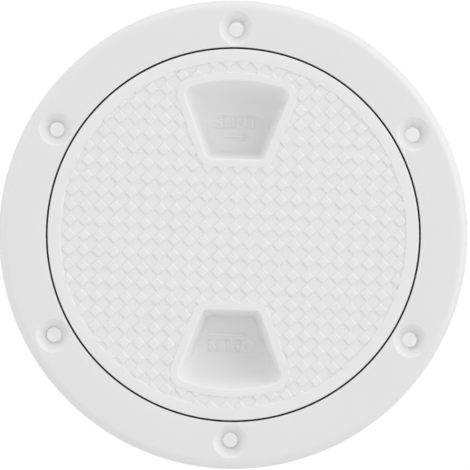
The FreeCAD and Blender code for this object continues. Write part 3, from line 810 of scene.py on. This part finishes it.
@dataclass
class MountingRing(Moulding):
    """The ring: a flange cored from below, a recess for the lid, and a threaded neck."""

    flange: float
    top: float
    foot: float
    edge_round: float = 3.1
    edge_steps: int = 24
    skin: float = 2.6
    lip: float = 2.5
    collar_wall: float = 2.3
    neck_bore: float = 54.4
    neck_wall: float = 3.0
    thread_start: float = -7.9
    recess: float = 58.3
    ledge: float = 2.2
    soft: float = 0.3
    hole_circle: float = 64.15
    hole_count: int = 6
    hole: float = 2.5
    countersink: float = 5.3
    hole_draft: float = 0.3
    hole_soft: float = 0.25
    hole_steps: int = 4
    hole_corners: int = 64
    boss: float = 5.5
    boss_clear: float = 0.05
    rib_wall: float = 1.8
    rib_count: int = 12
    sunk: float = 0.3
    foot_clear: float = 0.03

    @property
    def ceiling(self) -> float:
        """The level of the cored underside."""
        return self.top - self.skin

    def build(self) -> None:
        """Build the moulding, its bosses and ribs, and its thread."""
        self.place(self.moulding(), stands_for="mounting_ring")
        self.place(self.bosses())
        self.place(self.ribs())
        self.place(self.thread("neck_thread", self.neck_bore, Facing.INWARD, self.thread_start))

    def moulding(self) -> Mesh:
        """Build the ring itself, as one closed shell; its first screw hole lies on +Y.

        Returns:
            The mesh.
        """
        shell = Shell()
        collar = self.recess + self.collar_wall
        core = self.flange - self.lip
        neck = self.neck_bore + self.neck_wall
        inner = [
            Corner(self.recess + GUIDE, self.top),
            Corner(self.recess, self.top, self.soft),
            Corner(self.recess, self.ledge, self.soft),
            Corner(self.neck_bore, self.ledge, self.soft),
            Corner(self.neck_bore, self.foot, self.soft),
            Corner(neck, self.foot, self.soft),
            Corner(neck, 0, self.soft),
            Corner(collar, 0, self.soft),
            Corner(collar, self.ceiling),
        ]
        outer = [
            Corner(core, self.ceiling),
            Corner(core, 0, self.soft),
            Corner(self.flange, 0, self.soft),
            Corner(self.flange, self.top - self.edge_round),
        ]
        edge_centre = Vector((self.flange - self.edge_round, self.top - self.edge_round))
        edge = arc_points(edge_centre, self.edge_round, 0, 90, self.edge_steps)
        inner_loops = shell.turned(soft_path(inner)[1:])
        outer_loops = shell.turned(soft_path(outer)[:-1] + edge)
        centres = arc_points(AXIS, self.hole_circle, 90, 450, self.hole_count)[:-1]
        holes = [self.screw_hole(shell, centre) for centre in centres]
        shell.sheet(outer_loops[-1], inner_loops[0], *(hole[0] for hole in holes))
        shell.sheet(outer_loops[0], inner_loops[-1], *(hole[-1] for hole in holes))
        return shell.finish("ring_moulding")

    def screw_hole(self, shell: Shell, centre: Vector) -> list[Loop]:
        """Add a countersunk hole's walls.

        Args:
            shell: The shell that gets them.
            centre: The hole's place.

        Returns:
            The hole's circles, from the top face down.
        """
        section = [
            Corner(self.countersink + GUIDE, self.top),
            Corner(self.countersink, self.top, self.hole_soft),
            Corner(self.cone(self.ceiling), self.ceiling),
        ]
        return shell.turned(soft_path(section, self.hole_steps)[1:], centre, self.hole_corners)

    def cone(self, level: float) -> float:
        """Give the radius of a countersink at a level; its cone is as deep as it is wide."""
        return self.countersink - (self.top - level)

    def bosses(self) -> Mesh:
        """Build the tubes that back the screw holes, sunk a little into the flange.

        The countersink's cone runs on into the tube, a hair further out than in the flange.

        Returns:
            The mesh.
        """
        shell = Shell()
        head, foot, clear = self.ceiling + self.sunk, self.foot_clear, self.boss_clear
        section = [
            Corner(self.boss, head),
            Corner(self.cone(head) + clear, head),
            Corner(self.hole + clear, self.top - (self.countersink - self.hole), self.hole_soft),
            Corner(self.hole - self.hole_draft, foot, self.hole_soft),
            Corner(self.boss, foot, self.hole_soft),
            Corner(self.boss, head),
        ]
        path = soft_path(section, self.hole_steps)[:-1]
        loops = shell.turned(path, Vector((self.hole_circle, 0)), self.hole_corners)
        shell.bands([loops[-1], loops[0]])
        seed = shell.finish("boss_seed")
        return self.repeat("ring_bosses", seed, self.hole_count, 90, 360 / self.hole_count)

    def ribs(self) -> Mesh:
        """Build the radial ribs of the cored underside; their ends are sunk into its walls.

        Returns:
            The mesh.
        """
        inner = self.recess + self.collar_wall / 2
        outer = self.flange - self.lip / 2
        seed = bar("rib_seed", inner, outer, self.rib_wall, self.foot_clear, self.ceiling + self.sunk)
        return self.repeat("ring_ribs", seed, self.rib_count, 180 / self.rib_count, 360 / self.rib_count)


# The lid


@dataclass
class FingerWell:
    """A finger well: a scooped pocket with leaning walls, in a sector with round corners."""

    top: float
    half_angle: float = 20.7
    inner_edge: float = 23.4
    outer_arc: float = 48.0
    near_round: float = 2.0
    far_round: float = 2.9
    depth: float = 12.0
    draft: float = 11.1
    scoop: float = 7.0
    scoop_round: float = 26.0
    scoop_blend: float = 12.0
    mouth_soft: float = 0.45
    floor_soft: float = 0.35
    lip: float = 2.6
    lip_draft: float = 25.0
    lip_soft: float = 0.15
    lip_height: float = 0.4
    cup_wall: float = 2.2
    cup_round: float = 1.0
    wall_steps: int = 14
    edge_steps: int = 4
    near_steps: int = 8
    side_steps: int = 8
    far_steps: int = 10
    end_steps: int = 12

    @property
    def floor(self) -> float:
        """The level of the floor."""
        return self.top - self.depth

    def lean(self, level: float) -> float:
        """How far the side walls lie inside the mouth at a level."""
        return math.tan(math.radians(self.draft)) * (self.top - level)

    @property
    def sweep_centre(self) -> Vector:
        """The centre of the outer end's hollow sweep: distance from the lid's axis, and level."""
        chord = math.hypot(self.scoop, self.depth)
        reach = math.sqrt(self.scoop_round**2 - chord**2 / 4)
        across = self.outer_arc - self.scoop / 2 - reach * self.depth / chord
        return Vector((across, (self.top + self.floor) / 2 + reach * self.scoop / chord))

    def sweep(self, level: float) -> float:
        """Give the outer end's radius at a level, from the lid's axis."""
        centre = self.sweep_centre
        return centre.x + math.sqrt(self.scoop_round**2 - (level - centre.y) ** 2)

    def soft_sweep(self, level: float) -> float:
        """Give the same radius with the sweep running out softly into the floor.

        Args:
            level: The level.

        Returns:
            The radius, from the lid's axis.
        """
        centre = self.sweep_centre
        rise = max(level - self.floor, 0.0)
        up = self.floor + self.scoop_blend
        across = centre.x + math.sqrt((self.scoop_round - self.scoop_blend) ** 2 - (up - centre.y) ** 2)
        turned = math.atan2(across - centre.x, centre.y - up)
        if rise >= self.scoop_blend * (1 - math.cos(turned)):
            return self.sweep(level)
        return across + math.sqrt(rise * (2 * self.scoop_blend - rise))

    def outline(self, out: float, arc: float, grown: float) -> Outline:
        """Divide the outline, from the middle of its inner edge all the way round.

        Args:
            out: How far the sides and the inner edge lie outside the mouth's.
            arc: The radius of the outer end.
            grown: How much larger the corner radii are than the mouth's.

        Returns:
            The outline's points, the same number for any values.
        """
        slant = math.radians(self.half_angle)
        along = Vector((math.sin(slant), math.cos(slant)))
        inward = Vector((-math.cos(slant), math.sin(slant)))
        near, far = self.near_round + grown, self.far_round + grown
        edge = self.inner_edge - out
        near_reach = (edge + near - (near - out) * math.sin(slant)) / math.cos(slant)
        far_reach = math.sqrt((arc - far) ** 2 - (far - out) ** 2)
        near_centre = along * near_reach + inward * (near - out)
        far_centre = along * far_reach + inward * (far - out)
        far_angle = math.degrees(math.atan2(far_centre.y, far_centre.x))
        near_corner = arc_points(near_centre, near, -90, -self.half_angle, self.near_steps)
        far_corner = arc_points(far_centre, far, -self.half_angle, far_angle, self.far_steps)
        end = arc_points(AXIS, arc, far_angle, 90, self.end_steps)
        middle, first, last = Vector((0, edge)), near_corner[-1], far_corner[0]
        edge_run = [middle.lerp(near_corner[0], step / self.edge_steps) for step in range(self.edge_steps)]
        side_run = [first.lerp(last, step / self.side_steps) for step in range(1, self.side_steps)]
        right = edge_run + near_corner + side_run + far_corner + end[1:]
        left = [Vector((-point.x, point.y)) for point in reversed(right[1:-1])]
        return right + left

    def pocket(self) -> list[Outline]:
        """Walk from the foot of the lip over its top, down the wall and on to the floor.

        Returns:
            The outlines on the way.
        """
        slope = math.tan(math.radians(self.lip_draft)) * self.lip_height
        foot = -self.lean(self.floor)
        corners = [
            Corner(self.lip, self.top - self.lip_height),
            Corner(self.lip - slope, self.top, self.lip_soft),
            Corner(0, self.top, self.mouth_soft),
            Corner(foot, self.floor, self.floor_soft),
            Corner(foot - GUIDE, self.floor),
        ]
        path = soft_path(corners)[:-1]
        drop = max(range(1, len(path)), key=lambda at: path[at - 1].y - path[at].y)
        upper, lower = path[drop - 1], path[drop]
        wall = [upper.lerp(lower, step / self.wall_steps) for step in range(1, self.wall_steps)]
        outlines = []
        for out, level in path[:drop] + wall + path[drop:]:
            arc = self.soft_sweep(level) + out + self.lean(level)
            outlines.append(lifted(self.outline(out, arc, max(out, 0.0)), level))
        return outlines

    def cup(self, under: float, limit: float) -> list[Outline]:
        """Walk down the outside of the well's cup and on to its underside.

        Args:
            under: The level of the plate's underside, where the cup starts.
            limit: The largest radius that its outer end may have.

        Returns:
            The outlines on the way.
        """
        low = self.floor - self.cup_wall
        foot = self.sweep(self.floor) + self.cup_wall / 2
        head = self.sweep(self.top) + 2 * self.cup_wall
        corners = [
            Corner(self.cup_wall - self.lean(under), under),
            Corner(self.cup_wall - self.lean(low), low, self.cup_round),
            Corner(self.cup_wall - self.lean(low) - 2 * GUIDE, low),
        ]
        outlines = []
        for out, level in soft_path(corners)[:-1]:
            rounding = out - (self.cup_wall - self.lean(level))
            arc = min(foot + (head - foot) * (level - low) / (self.top - low), limit) + rounding
            outlines.append(lifted(self.outline(out, arc, self.cup_wall), level))
        return outlines


@dataclass
class ScrewLid(Moulding):
    """The lid: tread plate, smooth rim, two finger wells, and a threaded skirt."""

    well: FingerWell
    top: float
    rest_turn: float = -0.67
    rim: float = 57.7
    rim_under: float = 4.3
    rim_soft: float = 0.4
    tread_edge: float = 53.7
    tread_base: float = 6.1
    edge_draft: float = 25.0
    edge_soft: float = 0.15
    plate_under: float = 3.4
    skirt: float = 52.3
    skirt_inner: float = 49.9
    skirt_foot: float = -12.6
    thread_start: float = -10.4
    soft: float = 0.3
    star_wall: float = 1.8
    star_height: float = 3.0
    sunk: float = 0.3
    star_step: float = 0.03

    def build(self) -> None:
        """Build the moulding, the ribs under it and its thread."""
        self.place(self.moulding(), stands_for="screw_lid")
        for mesh in self.ribs():
            self.place(mesh)
        ridge = self.thread("lid_thread", self.skirt, Facing.OUTWARD, self.thread_start)
        self.place(spun(ridge, self.rest_turn))

    def moulding(self) -> Mesh:
        """Build the lid itself, as one closed shell.

        Returns:
            The mesh.
        """
        shell = Shell()
        slope = math.tan(math.radians(self.edge_draft)) * (self.top - self.tread_base)
        corners = [
            Corner(self.tread_edge, self.tread_base),
            Corner(self.tread_edge + slope, self.top, self.edge_soft),
            Corner(self.rim, self.top, self.rim_soft),
            Corner(self.rim, self.rim_under, self.soft),
            Corner(self.skirt, self.rim_under, self.soft),
            Corner(self.skirt, self.skirt_foot, self.soft),
            Corner(self.skirt_inner, self.skirt_foot, self.soft),
            Corner(self.skirt_inner, self.plate_under),
        ]
        loops = shell.turned(soft_path(corners))
        pocket = self.well.pocket()
        cup = self.well.cup(self.plate_under, self.skirt_inner - self.sunk)
        pockets = [shell.bowl(pocket, side) for side in (1, -1)]
        cups = [shell.bowl(cup, side) for side in (1, -1)]
        shell.sheet(loops[0], *pockets)
        shell.sheet(loops[-1], *cups)
        return shell.finish("lid_moulding", self.rest_turn)

    def ribs(self) -> tuple[Mesh, Mesh]:
        """Build the star of ribs under the plate.

        Returns:
            The two slanting ribs; and the one along X, with the short one that ends in the cups' walls.
        """
        reach = (self.skirt_inner + self.skirt) / 2
        low, high = self.plate_under - self.star_height, self.plate_under + self.sunk
        seed = bar("long_rib_seed", -reach, reach, self.star_wall, low, high)
        slanting = self.repeat("lid_long_ribs", seed, 2, 45 + self.rest_turn, 90)
        level = bar("lid_cross_ribs", -reach, reach, self.star_wall, low, high)
        short = self.well.inner_edge - self.well.cup_wall / 4
        other = bar("short_rib", -short, short, self.star_wall, low + self.star_step, high - self.star_step)
        return slanting, spun(joined(level, spun(other, 90)), self.rest_turn)


class CutDiamond(NamedTuple):
    """A diamond that a lip cuts: its place, the way to the lip, and how far that way the cut lies."""

    centre: Vector
    towards: Vector
    depth: float


@dataclass
class LidTread:
    """The raised-diamond tread: whole diamonds, and those that run into the rim or a lip."""

    plastic: Material
    stander: Pattern
    lid: ScrewLid
    pitch: float = 4.66
    corner_gap: float = 0.36
    draft: float = 42.0
    turn: float = -1.4
    shift_across: float = 0.30
    shift_along: float = 2.19
    crease: float = 10.0
    edge_soft: float = 0.2
    edge_steps: int = 2
    corner_soft: float = 0.12
    below: float = 0.02
    sunk: float = 0.1
    cut_depth: float = 1.3
    least: float = 0.35
    rim_margin: float = 0.1
    lip_parts: int = 4

    @property
    def half(self) -> float:
        """Half the diagonal of a diamond's foot."""
        return (self.pitch - self.corner_gap) / 2

    def build(self) -> None:
        """Build the tread in one mesh; the whole diamonds are copies of one."""
        whole, cut = self.sort_spots()
        seed = Shell()
        self.add_diamond(seed, AXIS)
        diamond = stand("diamond", seed.finish("diamond", crease=self.crease))
        spots = bpy.data.meshes.new("tread_spots")
        spots.from_pydata([(spot.x * MM, spot.y * MM, 0.0) for spot in whole], [], [])
        mesh = self.stander.grow("lid_tread", spots, self.plastic, {"Diamond": diamond})
        bpy.data.objects.remove(diamond)
        edge = Shell()
        for spot in cut:
            self.add_cut_diamond(edge, spot)
        mesh = joined(mesh, edge.finish("cut_diamonds", crease=self.crease))
        place(spun(mesh, self.lid.rest_turn), Body.LID, self.plastic)
        LOG.info("tread: %d whole diamonds, %d cut by a lip", len(whole), len(cut))

    def add_diamond(self, shell: Shell, centre: Vector) -> list[Loop]:
        """Add a diamond with a flat top and a soft top edge.

        Args:
            shell: The shell that gets it.
            centre: Its place.

        Returns:
            Its outlines, from the foot up.
        """
        low, high = self.lid.tread_base, self.lid.top - self.below
        lean = math.tan(math.radians(self.draft)) * math.sqrt(2)
        section = [
            Corner(self.half + lean * self.sunk, low - self.sunk),
            Corner(self.half - lean * (high - low), high, self.edge_soft),
            Corner(0, high),
        ]
        loops = []
        for point in soft_path(section, self.edge_steps)[:-1]:
            corners = []
            for quarter in range(4):
                angle = math.radians(self.turn + 90 * quarter)
                tip = Vector((math.cos(angle), math.sin(angle))) * (point.x - self.corner_soft)
                side = Vector((-math.sin(angle), math.cos(angle))) * self.corner_soft
                corners += [centre + tip - side, centre + tip + side]
            loops.append(shell.loop(lifted(corners, point.y)))
        shell.prism(loops)
        return loops

    def add_cut_diamond(self, shell: Shell, spot: CutDiamond) -> None:
        """Add a diamond and cut off what would pass through a lip.

        Args:
            shell: The shell that gets it.
            spot: Its place and its cut.
        """
        corners = [corner for loop in self.add_diamond(shell, spot.centre) for corner in loop]
        edges = {edge for corner in corners for edge in corner.link_edges}
        faces = {face for corner in corners for face in corner.link_faces}
        cut = bmesh.ops.bisect_plane(
            shell.mesh,
            geom=[*corners, *edges, *faces],
            plane_co=(*(spot.centre + spot.towards * spot.depth), 0),
            plane_no=(*spot.towards, 0),
            clear_outer=True,
        )
        rim = [item for item in cut["geom_cut"] if isinstance(item, bmesh.types.BMEdge)]
        if rim:
            bmesh.ops.contextual_create(shell.mesh, geom=rim)

    def sort_spots(self) -> tuple[list[Vector], list[CutDiamond]]:
        """Find the diamonds that show.

        A diamond that runs into the rim stays whole, because the rim is wide enough to hide its end.

        Returns:
            The whole ones' places, and the ones that a lip cuts.
        """
        well, parts = self.lid.well, self.lip_parts
        lip = well.outline(well.lip, well.outer_arc + well.lip, well.lip)
        lip = [here.lerp(there, part / parts) for here, there in closed(lip) for part in range(parts)]
        furthest = self.lid.rim - self.rim_margin - self.half
        rows = range(-math.ceil(furthest / self.pitch) - 1, math.ceil(furthest / self.pitch) + 2)
        shift = Vector((self.shift_across, self.shift_along))
        grid = Matrix.Rotation(math.radians(self.turn), 2)
        whole, cut = [], []
        for spot in (grid @ (shift + Vector((row, place)) * self.pitch) for row in rows for place in rows):
            if spot.length > furthest:
                continue
            side = 1 if spot.y >= 0 else -1
            nearest = min(lip, key=lambda point: (side * point - spot).length_squared) * side
            outward = -1 if self.lies_inside(side * spot, lip) else 1
            gap = (nearest - spot).length * outward
            towards = (nearest - spot).normalized() * outward
            reach = self.reach(towards)
            if gap > reach:
                whole.append(spot)
            elif gap > self.least - reach:
                cut.append(CutDiamond(spot, towards, gap + self.cut_depth))
        return whole, cut

    def reach(self, towards: Vector) -> float:
        """How far a diamond's foot reaches in a direction."""
        angle = math.atan2(towards.y, towards.x) - math.radians(self.turn)
        return self.half * max(abs(math.cos(angle)), abs(math.sin(angle)))

    @staticmethod
    def lies_inside(spot: Vector, outline: Outline) -> bool:
        """Say whether a spot lies inside an outline that bulges everywhere, walked to the left."""
        return all((there - here).cross(spot - here) >= 0 for here, there in closed(outline))


# Lettering


Trace = tuple[tuple[float, float], ...]


class Stroke(NamedTuple):
    """A stroke of a letter, on a grid one letter high: its points and its width."""

    points: Trace
    width: float


THICK, THIN, SERIF = 0.21, 0.13, 0.1
CURVED, BOWED = THICK * 0.85, THIN * 1.2


def bow(centre: tuple[float, float], wide: float, tall: float, first: float, last: float) -> Trace:
    """Give the points of an oval arc of a letter.

    Args:
        centre: The oval's centre.
        wide: Half its width.
        tall: Half its height.
        first: The angle at which the arc starts.
        last: The angle at which it ends.

    Returns:
        The arc's points.
    """
    unit = arc_points(AXIS, 1.0, first, last, max(4, round(abs(last - first) / 20)))
    return tuple((centre[0] + wide * point.x, centre[1] + tall * point.y) for point in unit)


def flat(level: float, first: float, last: float, width: float = SERIF) -> Stroke:
    """Draw a level stroke."""
    return Stroke(((first, level), (last, level)), width)


def post(across: float, first: float, last: float, width: float = SERIF) -> Stroke:
    """Draw an upright stroke."""
    return Stroke(((across, first), (across, last)), width)


def stem(across: float, width: float = THICK) -> list[Stroke]:
    """Draw an upright stroke with a serif at its foot and its head."""
    serifs = [flat(level, across - 0.15, across + 0.15) for level in (0.04, 0.96)]
    return [post(across, 0.0, 1.0, width), *serifs]


def letters() -> dict[str, tuple[float, list[Stroke]]]:
    """Draw the capitals that the two words need.

    Returns:
        For each letter, its width and its strokes, on a grid one letter high.
    """
    spine = bow((0.34, 0.74), 0.24, 0.21, 25, 225) + bow((0.34, 0.27), 0.26, 0.22, 45, -160)
    basin = ((0.2, 1.0), *bow((0.43, 0.34), 0.23, 0.28, 180, 360), (0.66, 1.0))
    bowl = ((0.2, 0.95), *bow((0.38, 0.71), 0.26, 0.24, 90, -90), (0.2, 0.47))
    slant = [Stroke(((0.18, 0.98), (0.74, 0.03)), THICK), post(0.74, 0.0, 1.0, THIN)]
    arms = [flat(0.95, 0.2, 0.66, THIN), flat(0.52, 0.2, 0.52, THIN), flat(0.05, 0.2, 0.68, THIN)]
    roof = [flat(0.95, 0.04, 0.78, THIN), post(0.06, 0.97, 0.78), post(0.76, 0.97, 0.78)]
    return {
        "S": (0.68, [Stroke(spine, CURVED)]),
        "H": (0.92, [*stem(0.2), *stem(0.7), flat(0.52, 0.2, 0.7, THIN)]),
        "U": (0.86, [Stroke(basin, CURVED), flat(0.96, 0.04, 0.36), flat(0.96, 0.5, 0.82)]),
        "T": (0.82, [post(0.41, 0.0, 1.0, THICK), flat(0.04, 0.25, 0.57), *roof]),
        "O": (0.92, [Stroke(bow((0.45, 0.5), 0.36, 0.43, 0, 360), CURVED)]),
        "P": (0.78, [*stem(0.2), Stroke(bowl, BOWED)]),
        "E": (0.78, [*stem(0.2), *arms, post(0.64, 0.97, 0.78), post(0.67, 0.03, 0.24)]),
        "N": (0.92, [*stem(0.18, THIN), *slant, flat(0.96, 0.6, 0.88)]),
    }


@dataclass(frozen=True)
class Marking:
    """A plain word and an arrow, raised on the floor of a well, that tell which way to turn."""

    word: str
    word_radius: float
    arrow_radius: float
    side: int
    arrow_length: float
    arrow_across: float = 0.0
    height: float = 3.7
    spread: float = 1.16
    relief: float = 0.3
    step: float = 0.004
    crest: float = 0.85
    spread_foot: float = 1.05
    sunk: float = 0.1
    arrow_width: float = 0.65
    head: float = 1.3
    head_slope: float = 0.8
    tip_gap: float = 0.3


@dataclass
class LidWords:
    """The raised markings of the lid."""

    # The words' plastic is painted lighter than the lid's: a painted highlight.
    plastic: Material
    lid: ScrewLid
    markings: tuple[Marking, ...] = (
        Marking("SHUT", word_radius=35.3, arrow_radius=30.9, side=1, arrow_length=7.0),
        Marking("OPEN", word_radius=34.9, arrow_radius=31.4, side=-1, arrow_length=11.4, arrow_across=-1.0),
    )

    def build(self) -> None:
        """Build both markings in one mesh."""
        shell = Shell()
        for marking in self.markings:
            self.add_word(shell, marking)
            self.add_arrow(shell, marking)
        place(shell.finish("lid_words", self.lid.rest_turn), Body.LID, self.plastic)

    def add_word(self, shell: Shell, marking: Marking) -> None:
        """Raise a word on the floor of its well.

        Args:
            shell: The shell that gets it.
            marking: The word, its size and its place.
        """
        alphabet = letters()
        across = -sum(alphabet[letter][0] for letter in marking.word) / 2
        wide, tall = marking.height * marking.spread, marking.height
        for letter in marking.word:
            advance, strokes = alphabet[letter]
            for number, stroke in enumerate(strokes):
                points = [
                    marking.side * Vector(((across + x) * wide, (y - 0.5) * tall + marking.word_radius))
                    for x, y in stroke.points
                ]
                self.add_ridge(shell, points, stroke.width * tall, marking, number)
            across += advance

    def add_arrow(self, shell: Shell, marking: Marking) -> None:
        """Raise the arrow beside a word; both arrows point to +X, whichever well they lie in.

        Args:
            shell: The shell that gets it.
            marking: The arrow's size and place.
        """
        tip = marking.arrow_across + marking.arrow_length / 2
        back, wing = tip - marking.head, marking.head * marking.head_slope
        lines = [
            [(tip - marking.arrow_length, 0.0), (tip - marking.tip_gap, 0.0)],
            [(back, wing), (tip, 0.0)],
            [(back, -wing), (tip, 0.0)],
        ]
        for number, ends in enumerate(lines):
            points = [Vector((x, marking.side * marking.arrow_radius + y)) for x, y in ends]
            self.add_ridge(shell, points, marking.arrow_width, marking, number)

    def add_ridge(self, shell: Shell, points: Outline, width: float, marking: Marking, number: int) -> None:
        """Raise one stroke, with slanting sides; each is a hair higher than the last one it crosses.

        Args:
            shell: The shell that gets it.
            points: The stroke's path on the floor.
            width: Its width.
            marking: The marking that it belongs to.
            number: Its number in its letter.
        """
        low = self.lid.well.floor - marking.sunk
        high = self.lid.well.floor + marking.relief + number * marking.step
        ring = (points[0] - points[-1]).length < WELD
        path = points[:-1] if ring else points
        stations = []
        for at, here in enumerate(path):
            before = path[at - 1] if at or ring else here
            after = path[(at + 1) % len(path)] if at + 1 < len(path) or ring else here
            side = (after - before).orthogonal().normalized() * width / 2
            foot, crest = side * marking.spread_foot, side * marking.crest
            section = [(here - foot, low), (here - crest, high), (here + crest, high), (here + foot, low)]
            stations.append(shell.loop(Vector((*spot, level)) for spot, level in section))
        if ring:
            shell.bands([*stations, stations[0]])
        else:
            shell.prism(stations)


# The studio


@dataclass(frozen=True)
class Lamp:
    """A soft lamp: its bearing from +X, how high it climbs from the floor, and its power in watts."""

    name: str
    bearing: float
    climb: float
    power: float


@dataclass
class Studio:
    """A pale floor, soft light from all sides, and the camera straight above."""

    foot: float
    floor_gap: float = 0.1
    floor_size: float = 4000.0
    frame_width: float = 146.5
    sight_level: float = 3.0
    camera_height: float = 1000.0
    centre: tuple[float, float] = (0.53, -0.1)
    camera_turn: float = 0.83
    sensor: float = 36.0
    sky: float = 0.66
    lamp_distance: float = 2000.0
    lamp_width: float = 2400.0
    lamp_height: float = 1400.0
    lamps: tuple[Lamp, ...] = (
        Lamp("east_lamp", bearing=15.0, climb=27.0, power=13.5),
        Lamp("north_lamp", bearing=90.0, climb=15.0, power=8.5),
        Lamp("west_lamp", bearing=175.0, climb=10.0, power=9.0),
        Lamp("south_lamp", bearing=265.0, climb=10.0, power=4.5),
    )

    def build(self) -> None:
        """Set up the floor, the sky, the lamps and the camera."""
        self.add_floor()
        self.add_sky()
        for lamp in self.lamps:
            self.add_lamp(lamp)
        self.add_camera()
        bpy.context.scene.view_settings.view_transform = "Standard"

    def add_floor(self) -> None:
        """Lay the paper that the object stands on."""
        shell = Shell()
        half = self.floor_size / 2
        corners = [Vector(corner) for corner in ((-half, -half), (half, -half), (half, half), (-half, half))]
        shell.mesh.faces.new(shell.loop(lifted(corners, self.foot - self.floor_gap)))
        mesh = shell.finish("paper_floor")
        mesh.materials.append(PaperBackdrop("white_backdrop_paper").build())
        stand("paper_floor", mesh)

    def add_sky(self) -> None:
        """Make the even light of the white room; whoever looks at it sees plain white."""
        world = bpy.data.worlds.new("white_room")
        world.use_nodes = True
        tree = world.node_tree
        tree.nodes.clear()
        inputs = {"Value": add_seen(tree), "To Min": self.sky, "To Max": 1.0}
        inputs = {"Color": WHITE, "Strength": add_node(tree, "ShaderNodeMapRange", inputs)["Result"]}
        light = add_node(tree, "ShaderNodeBackground", inputs)["Background"]
        add_node(tree, "ShaderNodeOutputWorld", {"Surface": light})
        bpy.context.scene.world = world

    def add_lamp(self, lamp: Lamp) -> None:
        """Stand a soft lamp beside the object.

        Args:
            lamp: The lamp.
        """
        light = bpy.data.lights.new(lamp.name, "AREA")
        light.shape = "RECTANGLE"
        light.size = self.lamp_width * MM
        light.size_y = self.lamp_height * MM
        light.energy = lamp.power
        bearing, climb = math.radians(lamp.bearing), math.radians(lamp.climb)
        level = math.cos(climb)
        towards = Vector((math.cos(bearing) * level, math.sin(bearing) * level, math.sin(climb)))
        thing = stand(lamp.name, light)
        thing.location = towards * self.lamp_distance * MM
        thing.rotation_euler = towards.to_track_quat("Z", "Y").to_euler()

    def add_camera(self) -> None:
        """Hang the camera straight above the object, with a long lens."""
        camera = bpy.data.cameras.new("camera")
        camera.sensor_width = self.sensor
        camera.lens = self.sensor * (self.camera_height - self.sight_level) / self.frame_width
        eye = stand("camera", camera)
        eye.location = Vector((*self.centre, self.camera_height)) * MM
        eye.rotation_euler = (0, 0, math.radians(self.camera_turn))
        bpy.context.scene.camera = eye


def main() -> None:
    """Build and dress every piece, and then the studio."""
    logging.basicConfig(level=logging.INFO, format="%(message)s")
    low, high = (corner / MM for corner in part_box("mounting_ring"))
    top = high.z
    ring_plastic = MouldedPlastic("white_moulded_asa_ring").build()
    lid_plastic = MouldedPlastic("white_moulded_asa_lid", colour="F5F5F5", shade="F3F3F3").build()
    # The words get the lid's ASA painted lighter: a painted highlight for the light that their raised
    # strokes catch.
    painted_highlight_plastic = MouldedPlastic("white_moulded_asa_words", colour="FCFCFC", shade="FBFBFB").build()
    rounder, winder = round_pattern(), thread_pattern()
    MountingRing(Body.RING, ring_plastic, rounder, winder, high.x, top, low.z).build()
    lid = ScrewLid(Body.LID, lid_plastic, rounder, winder, FingerWell(top), top)
    lid.build()
    LidTread(lid_plastic, tread_pattern(), lid).build()
    LidWords(painted_highlight_plastic, lid).build()
    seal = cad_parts["rim_seal"]
    seal.data.materials.clear()
    seal.data.materials.append(SealRubber("black_nitrile_rubber").build())
    LOG.info("rim_seal: the packed node, in black rubber")
    Studio(foot=low.z).build()


if __name__ == "__main__":
    main()
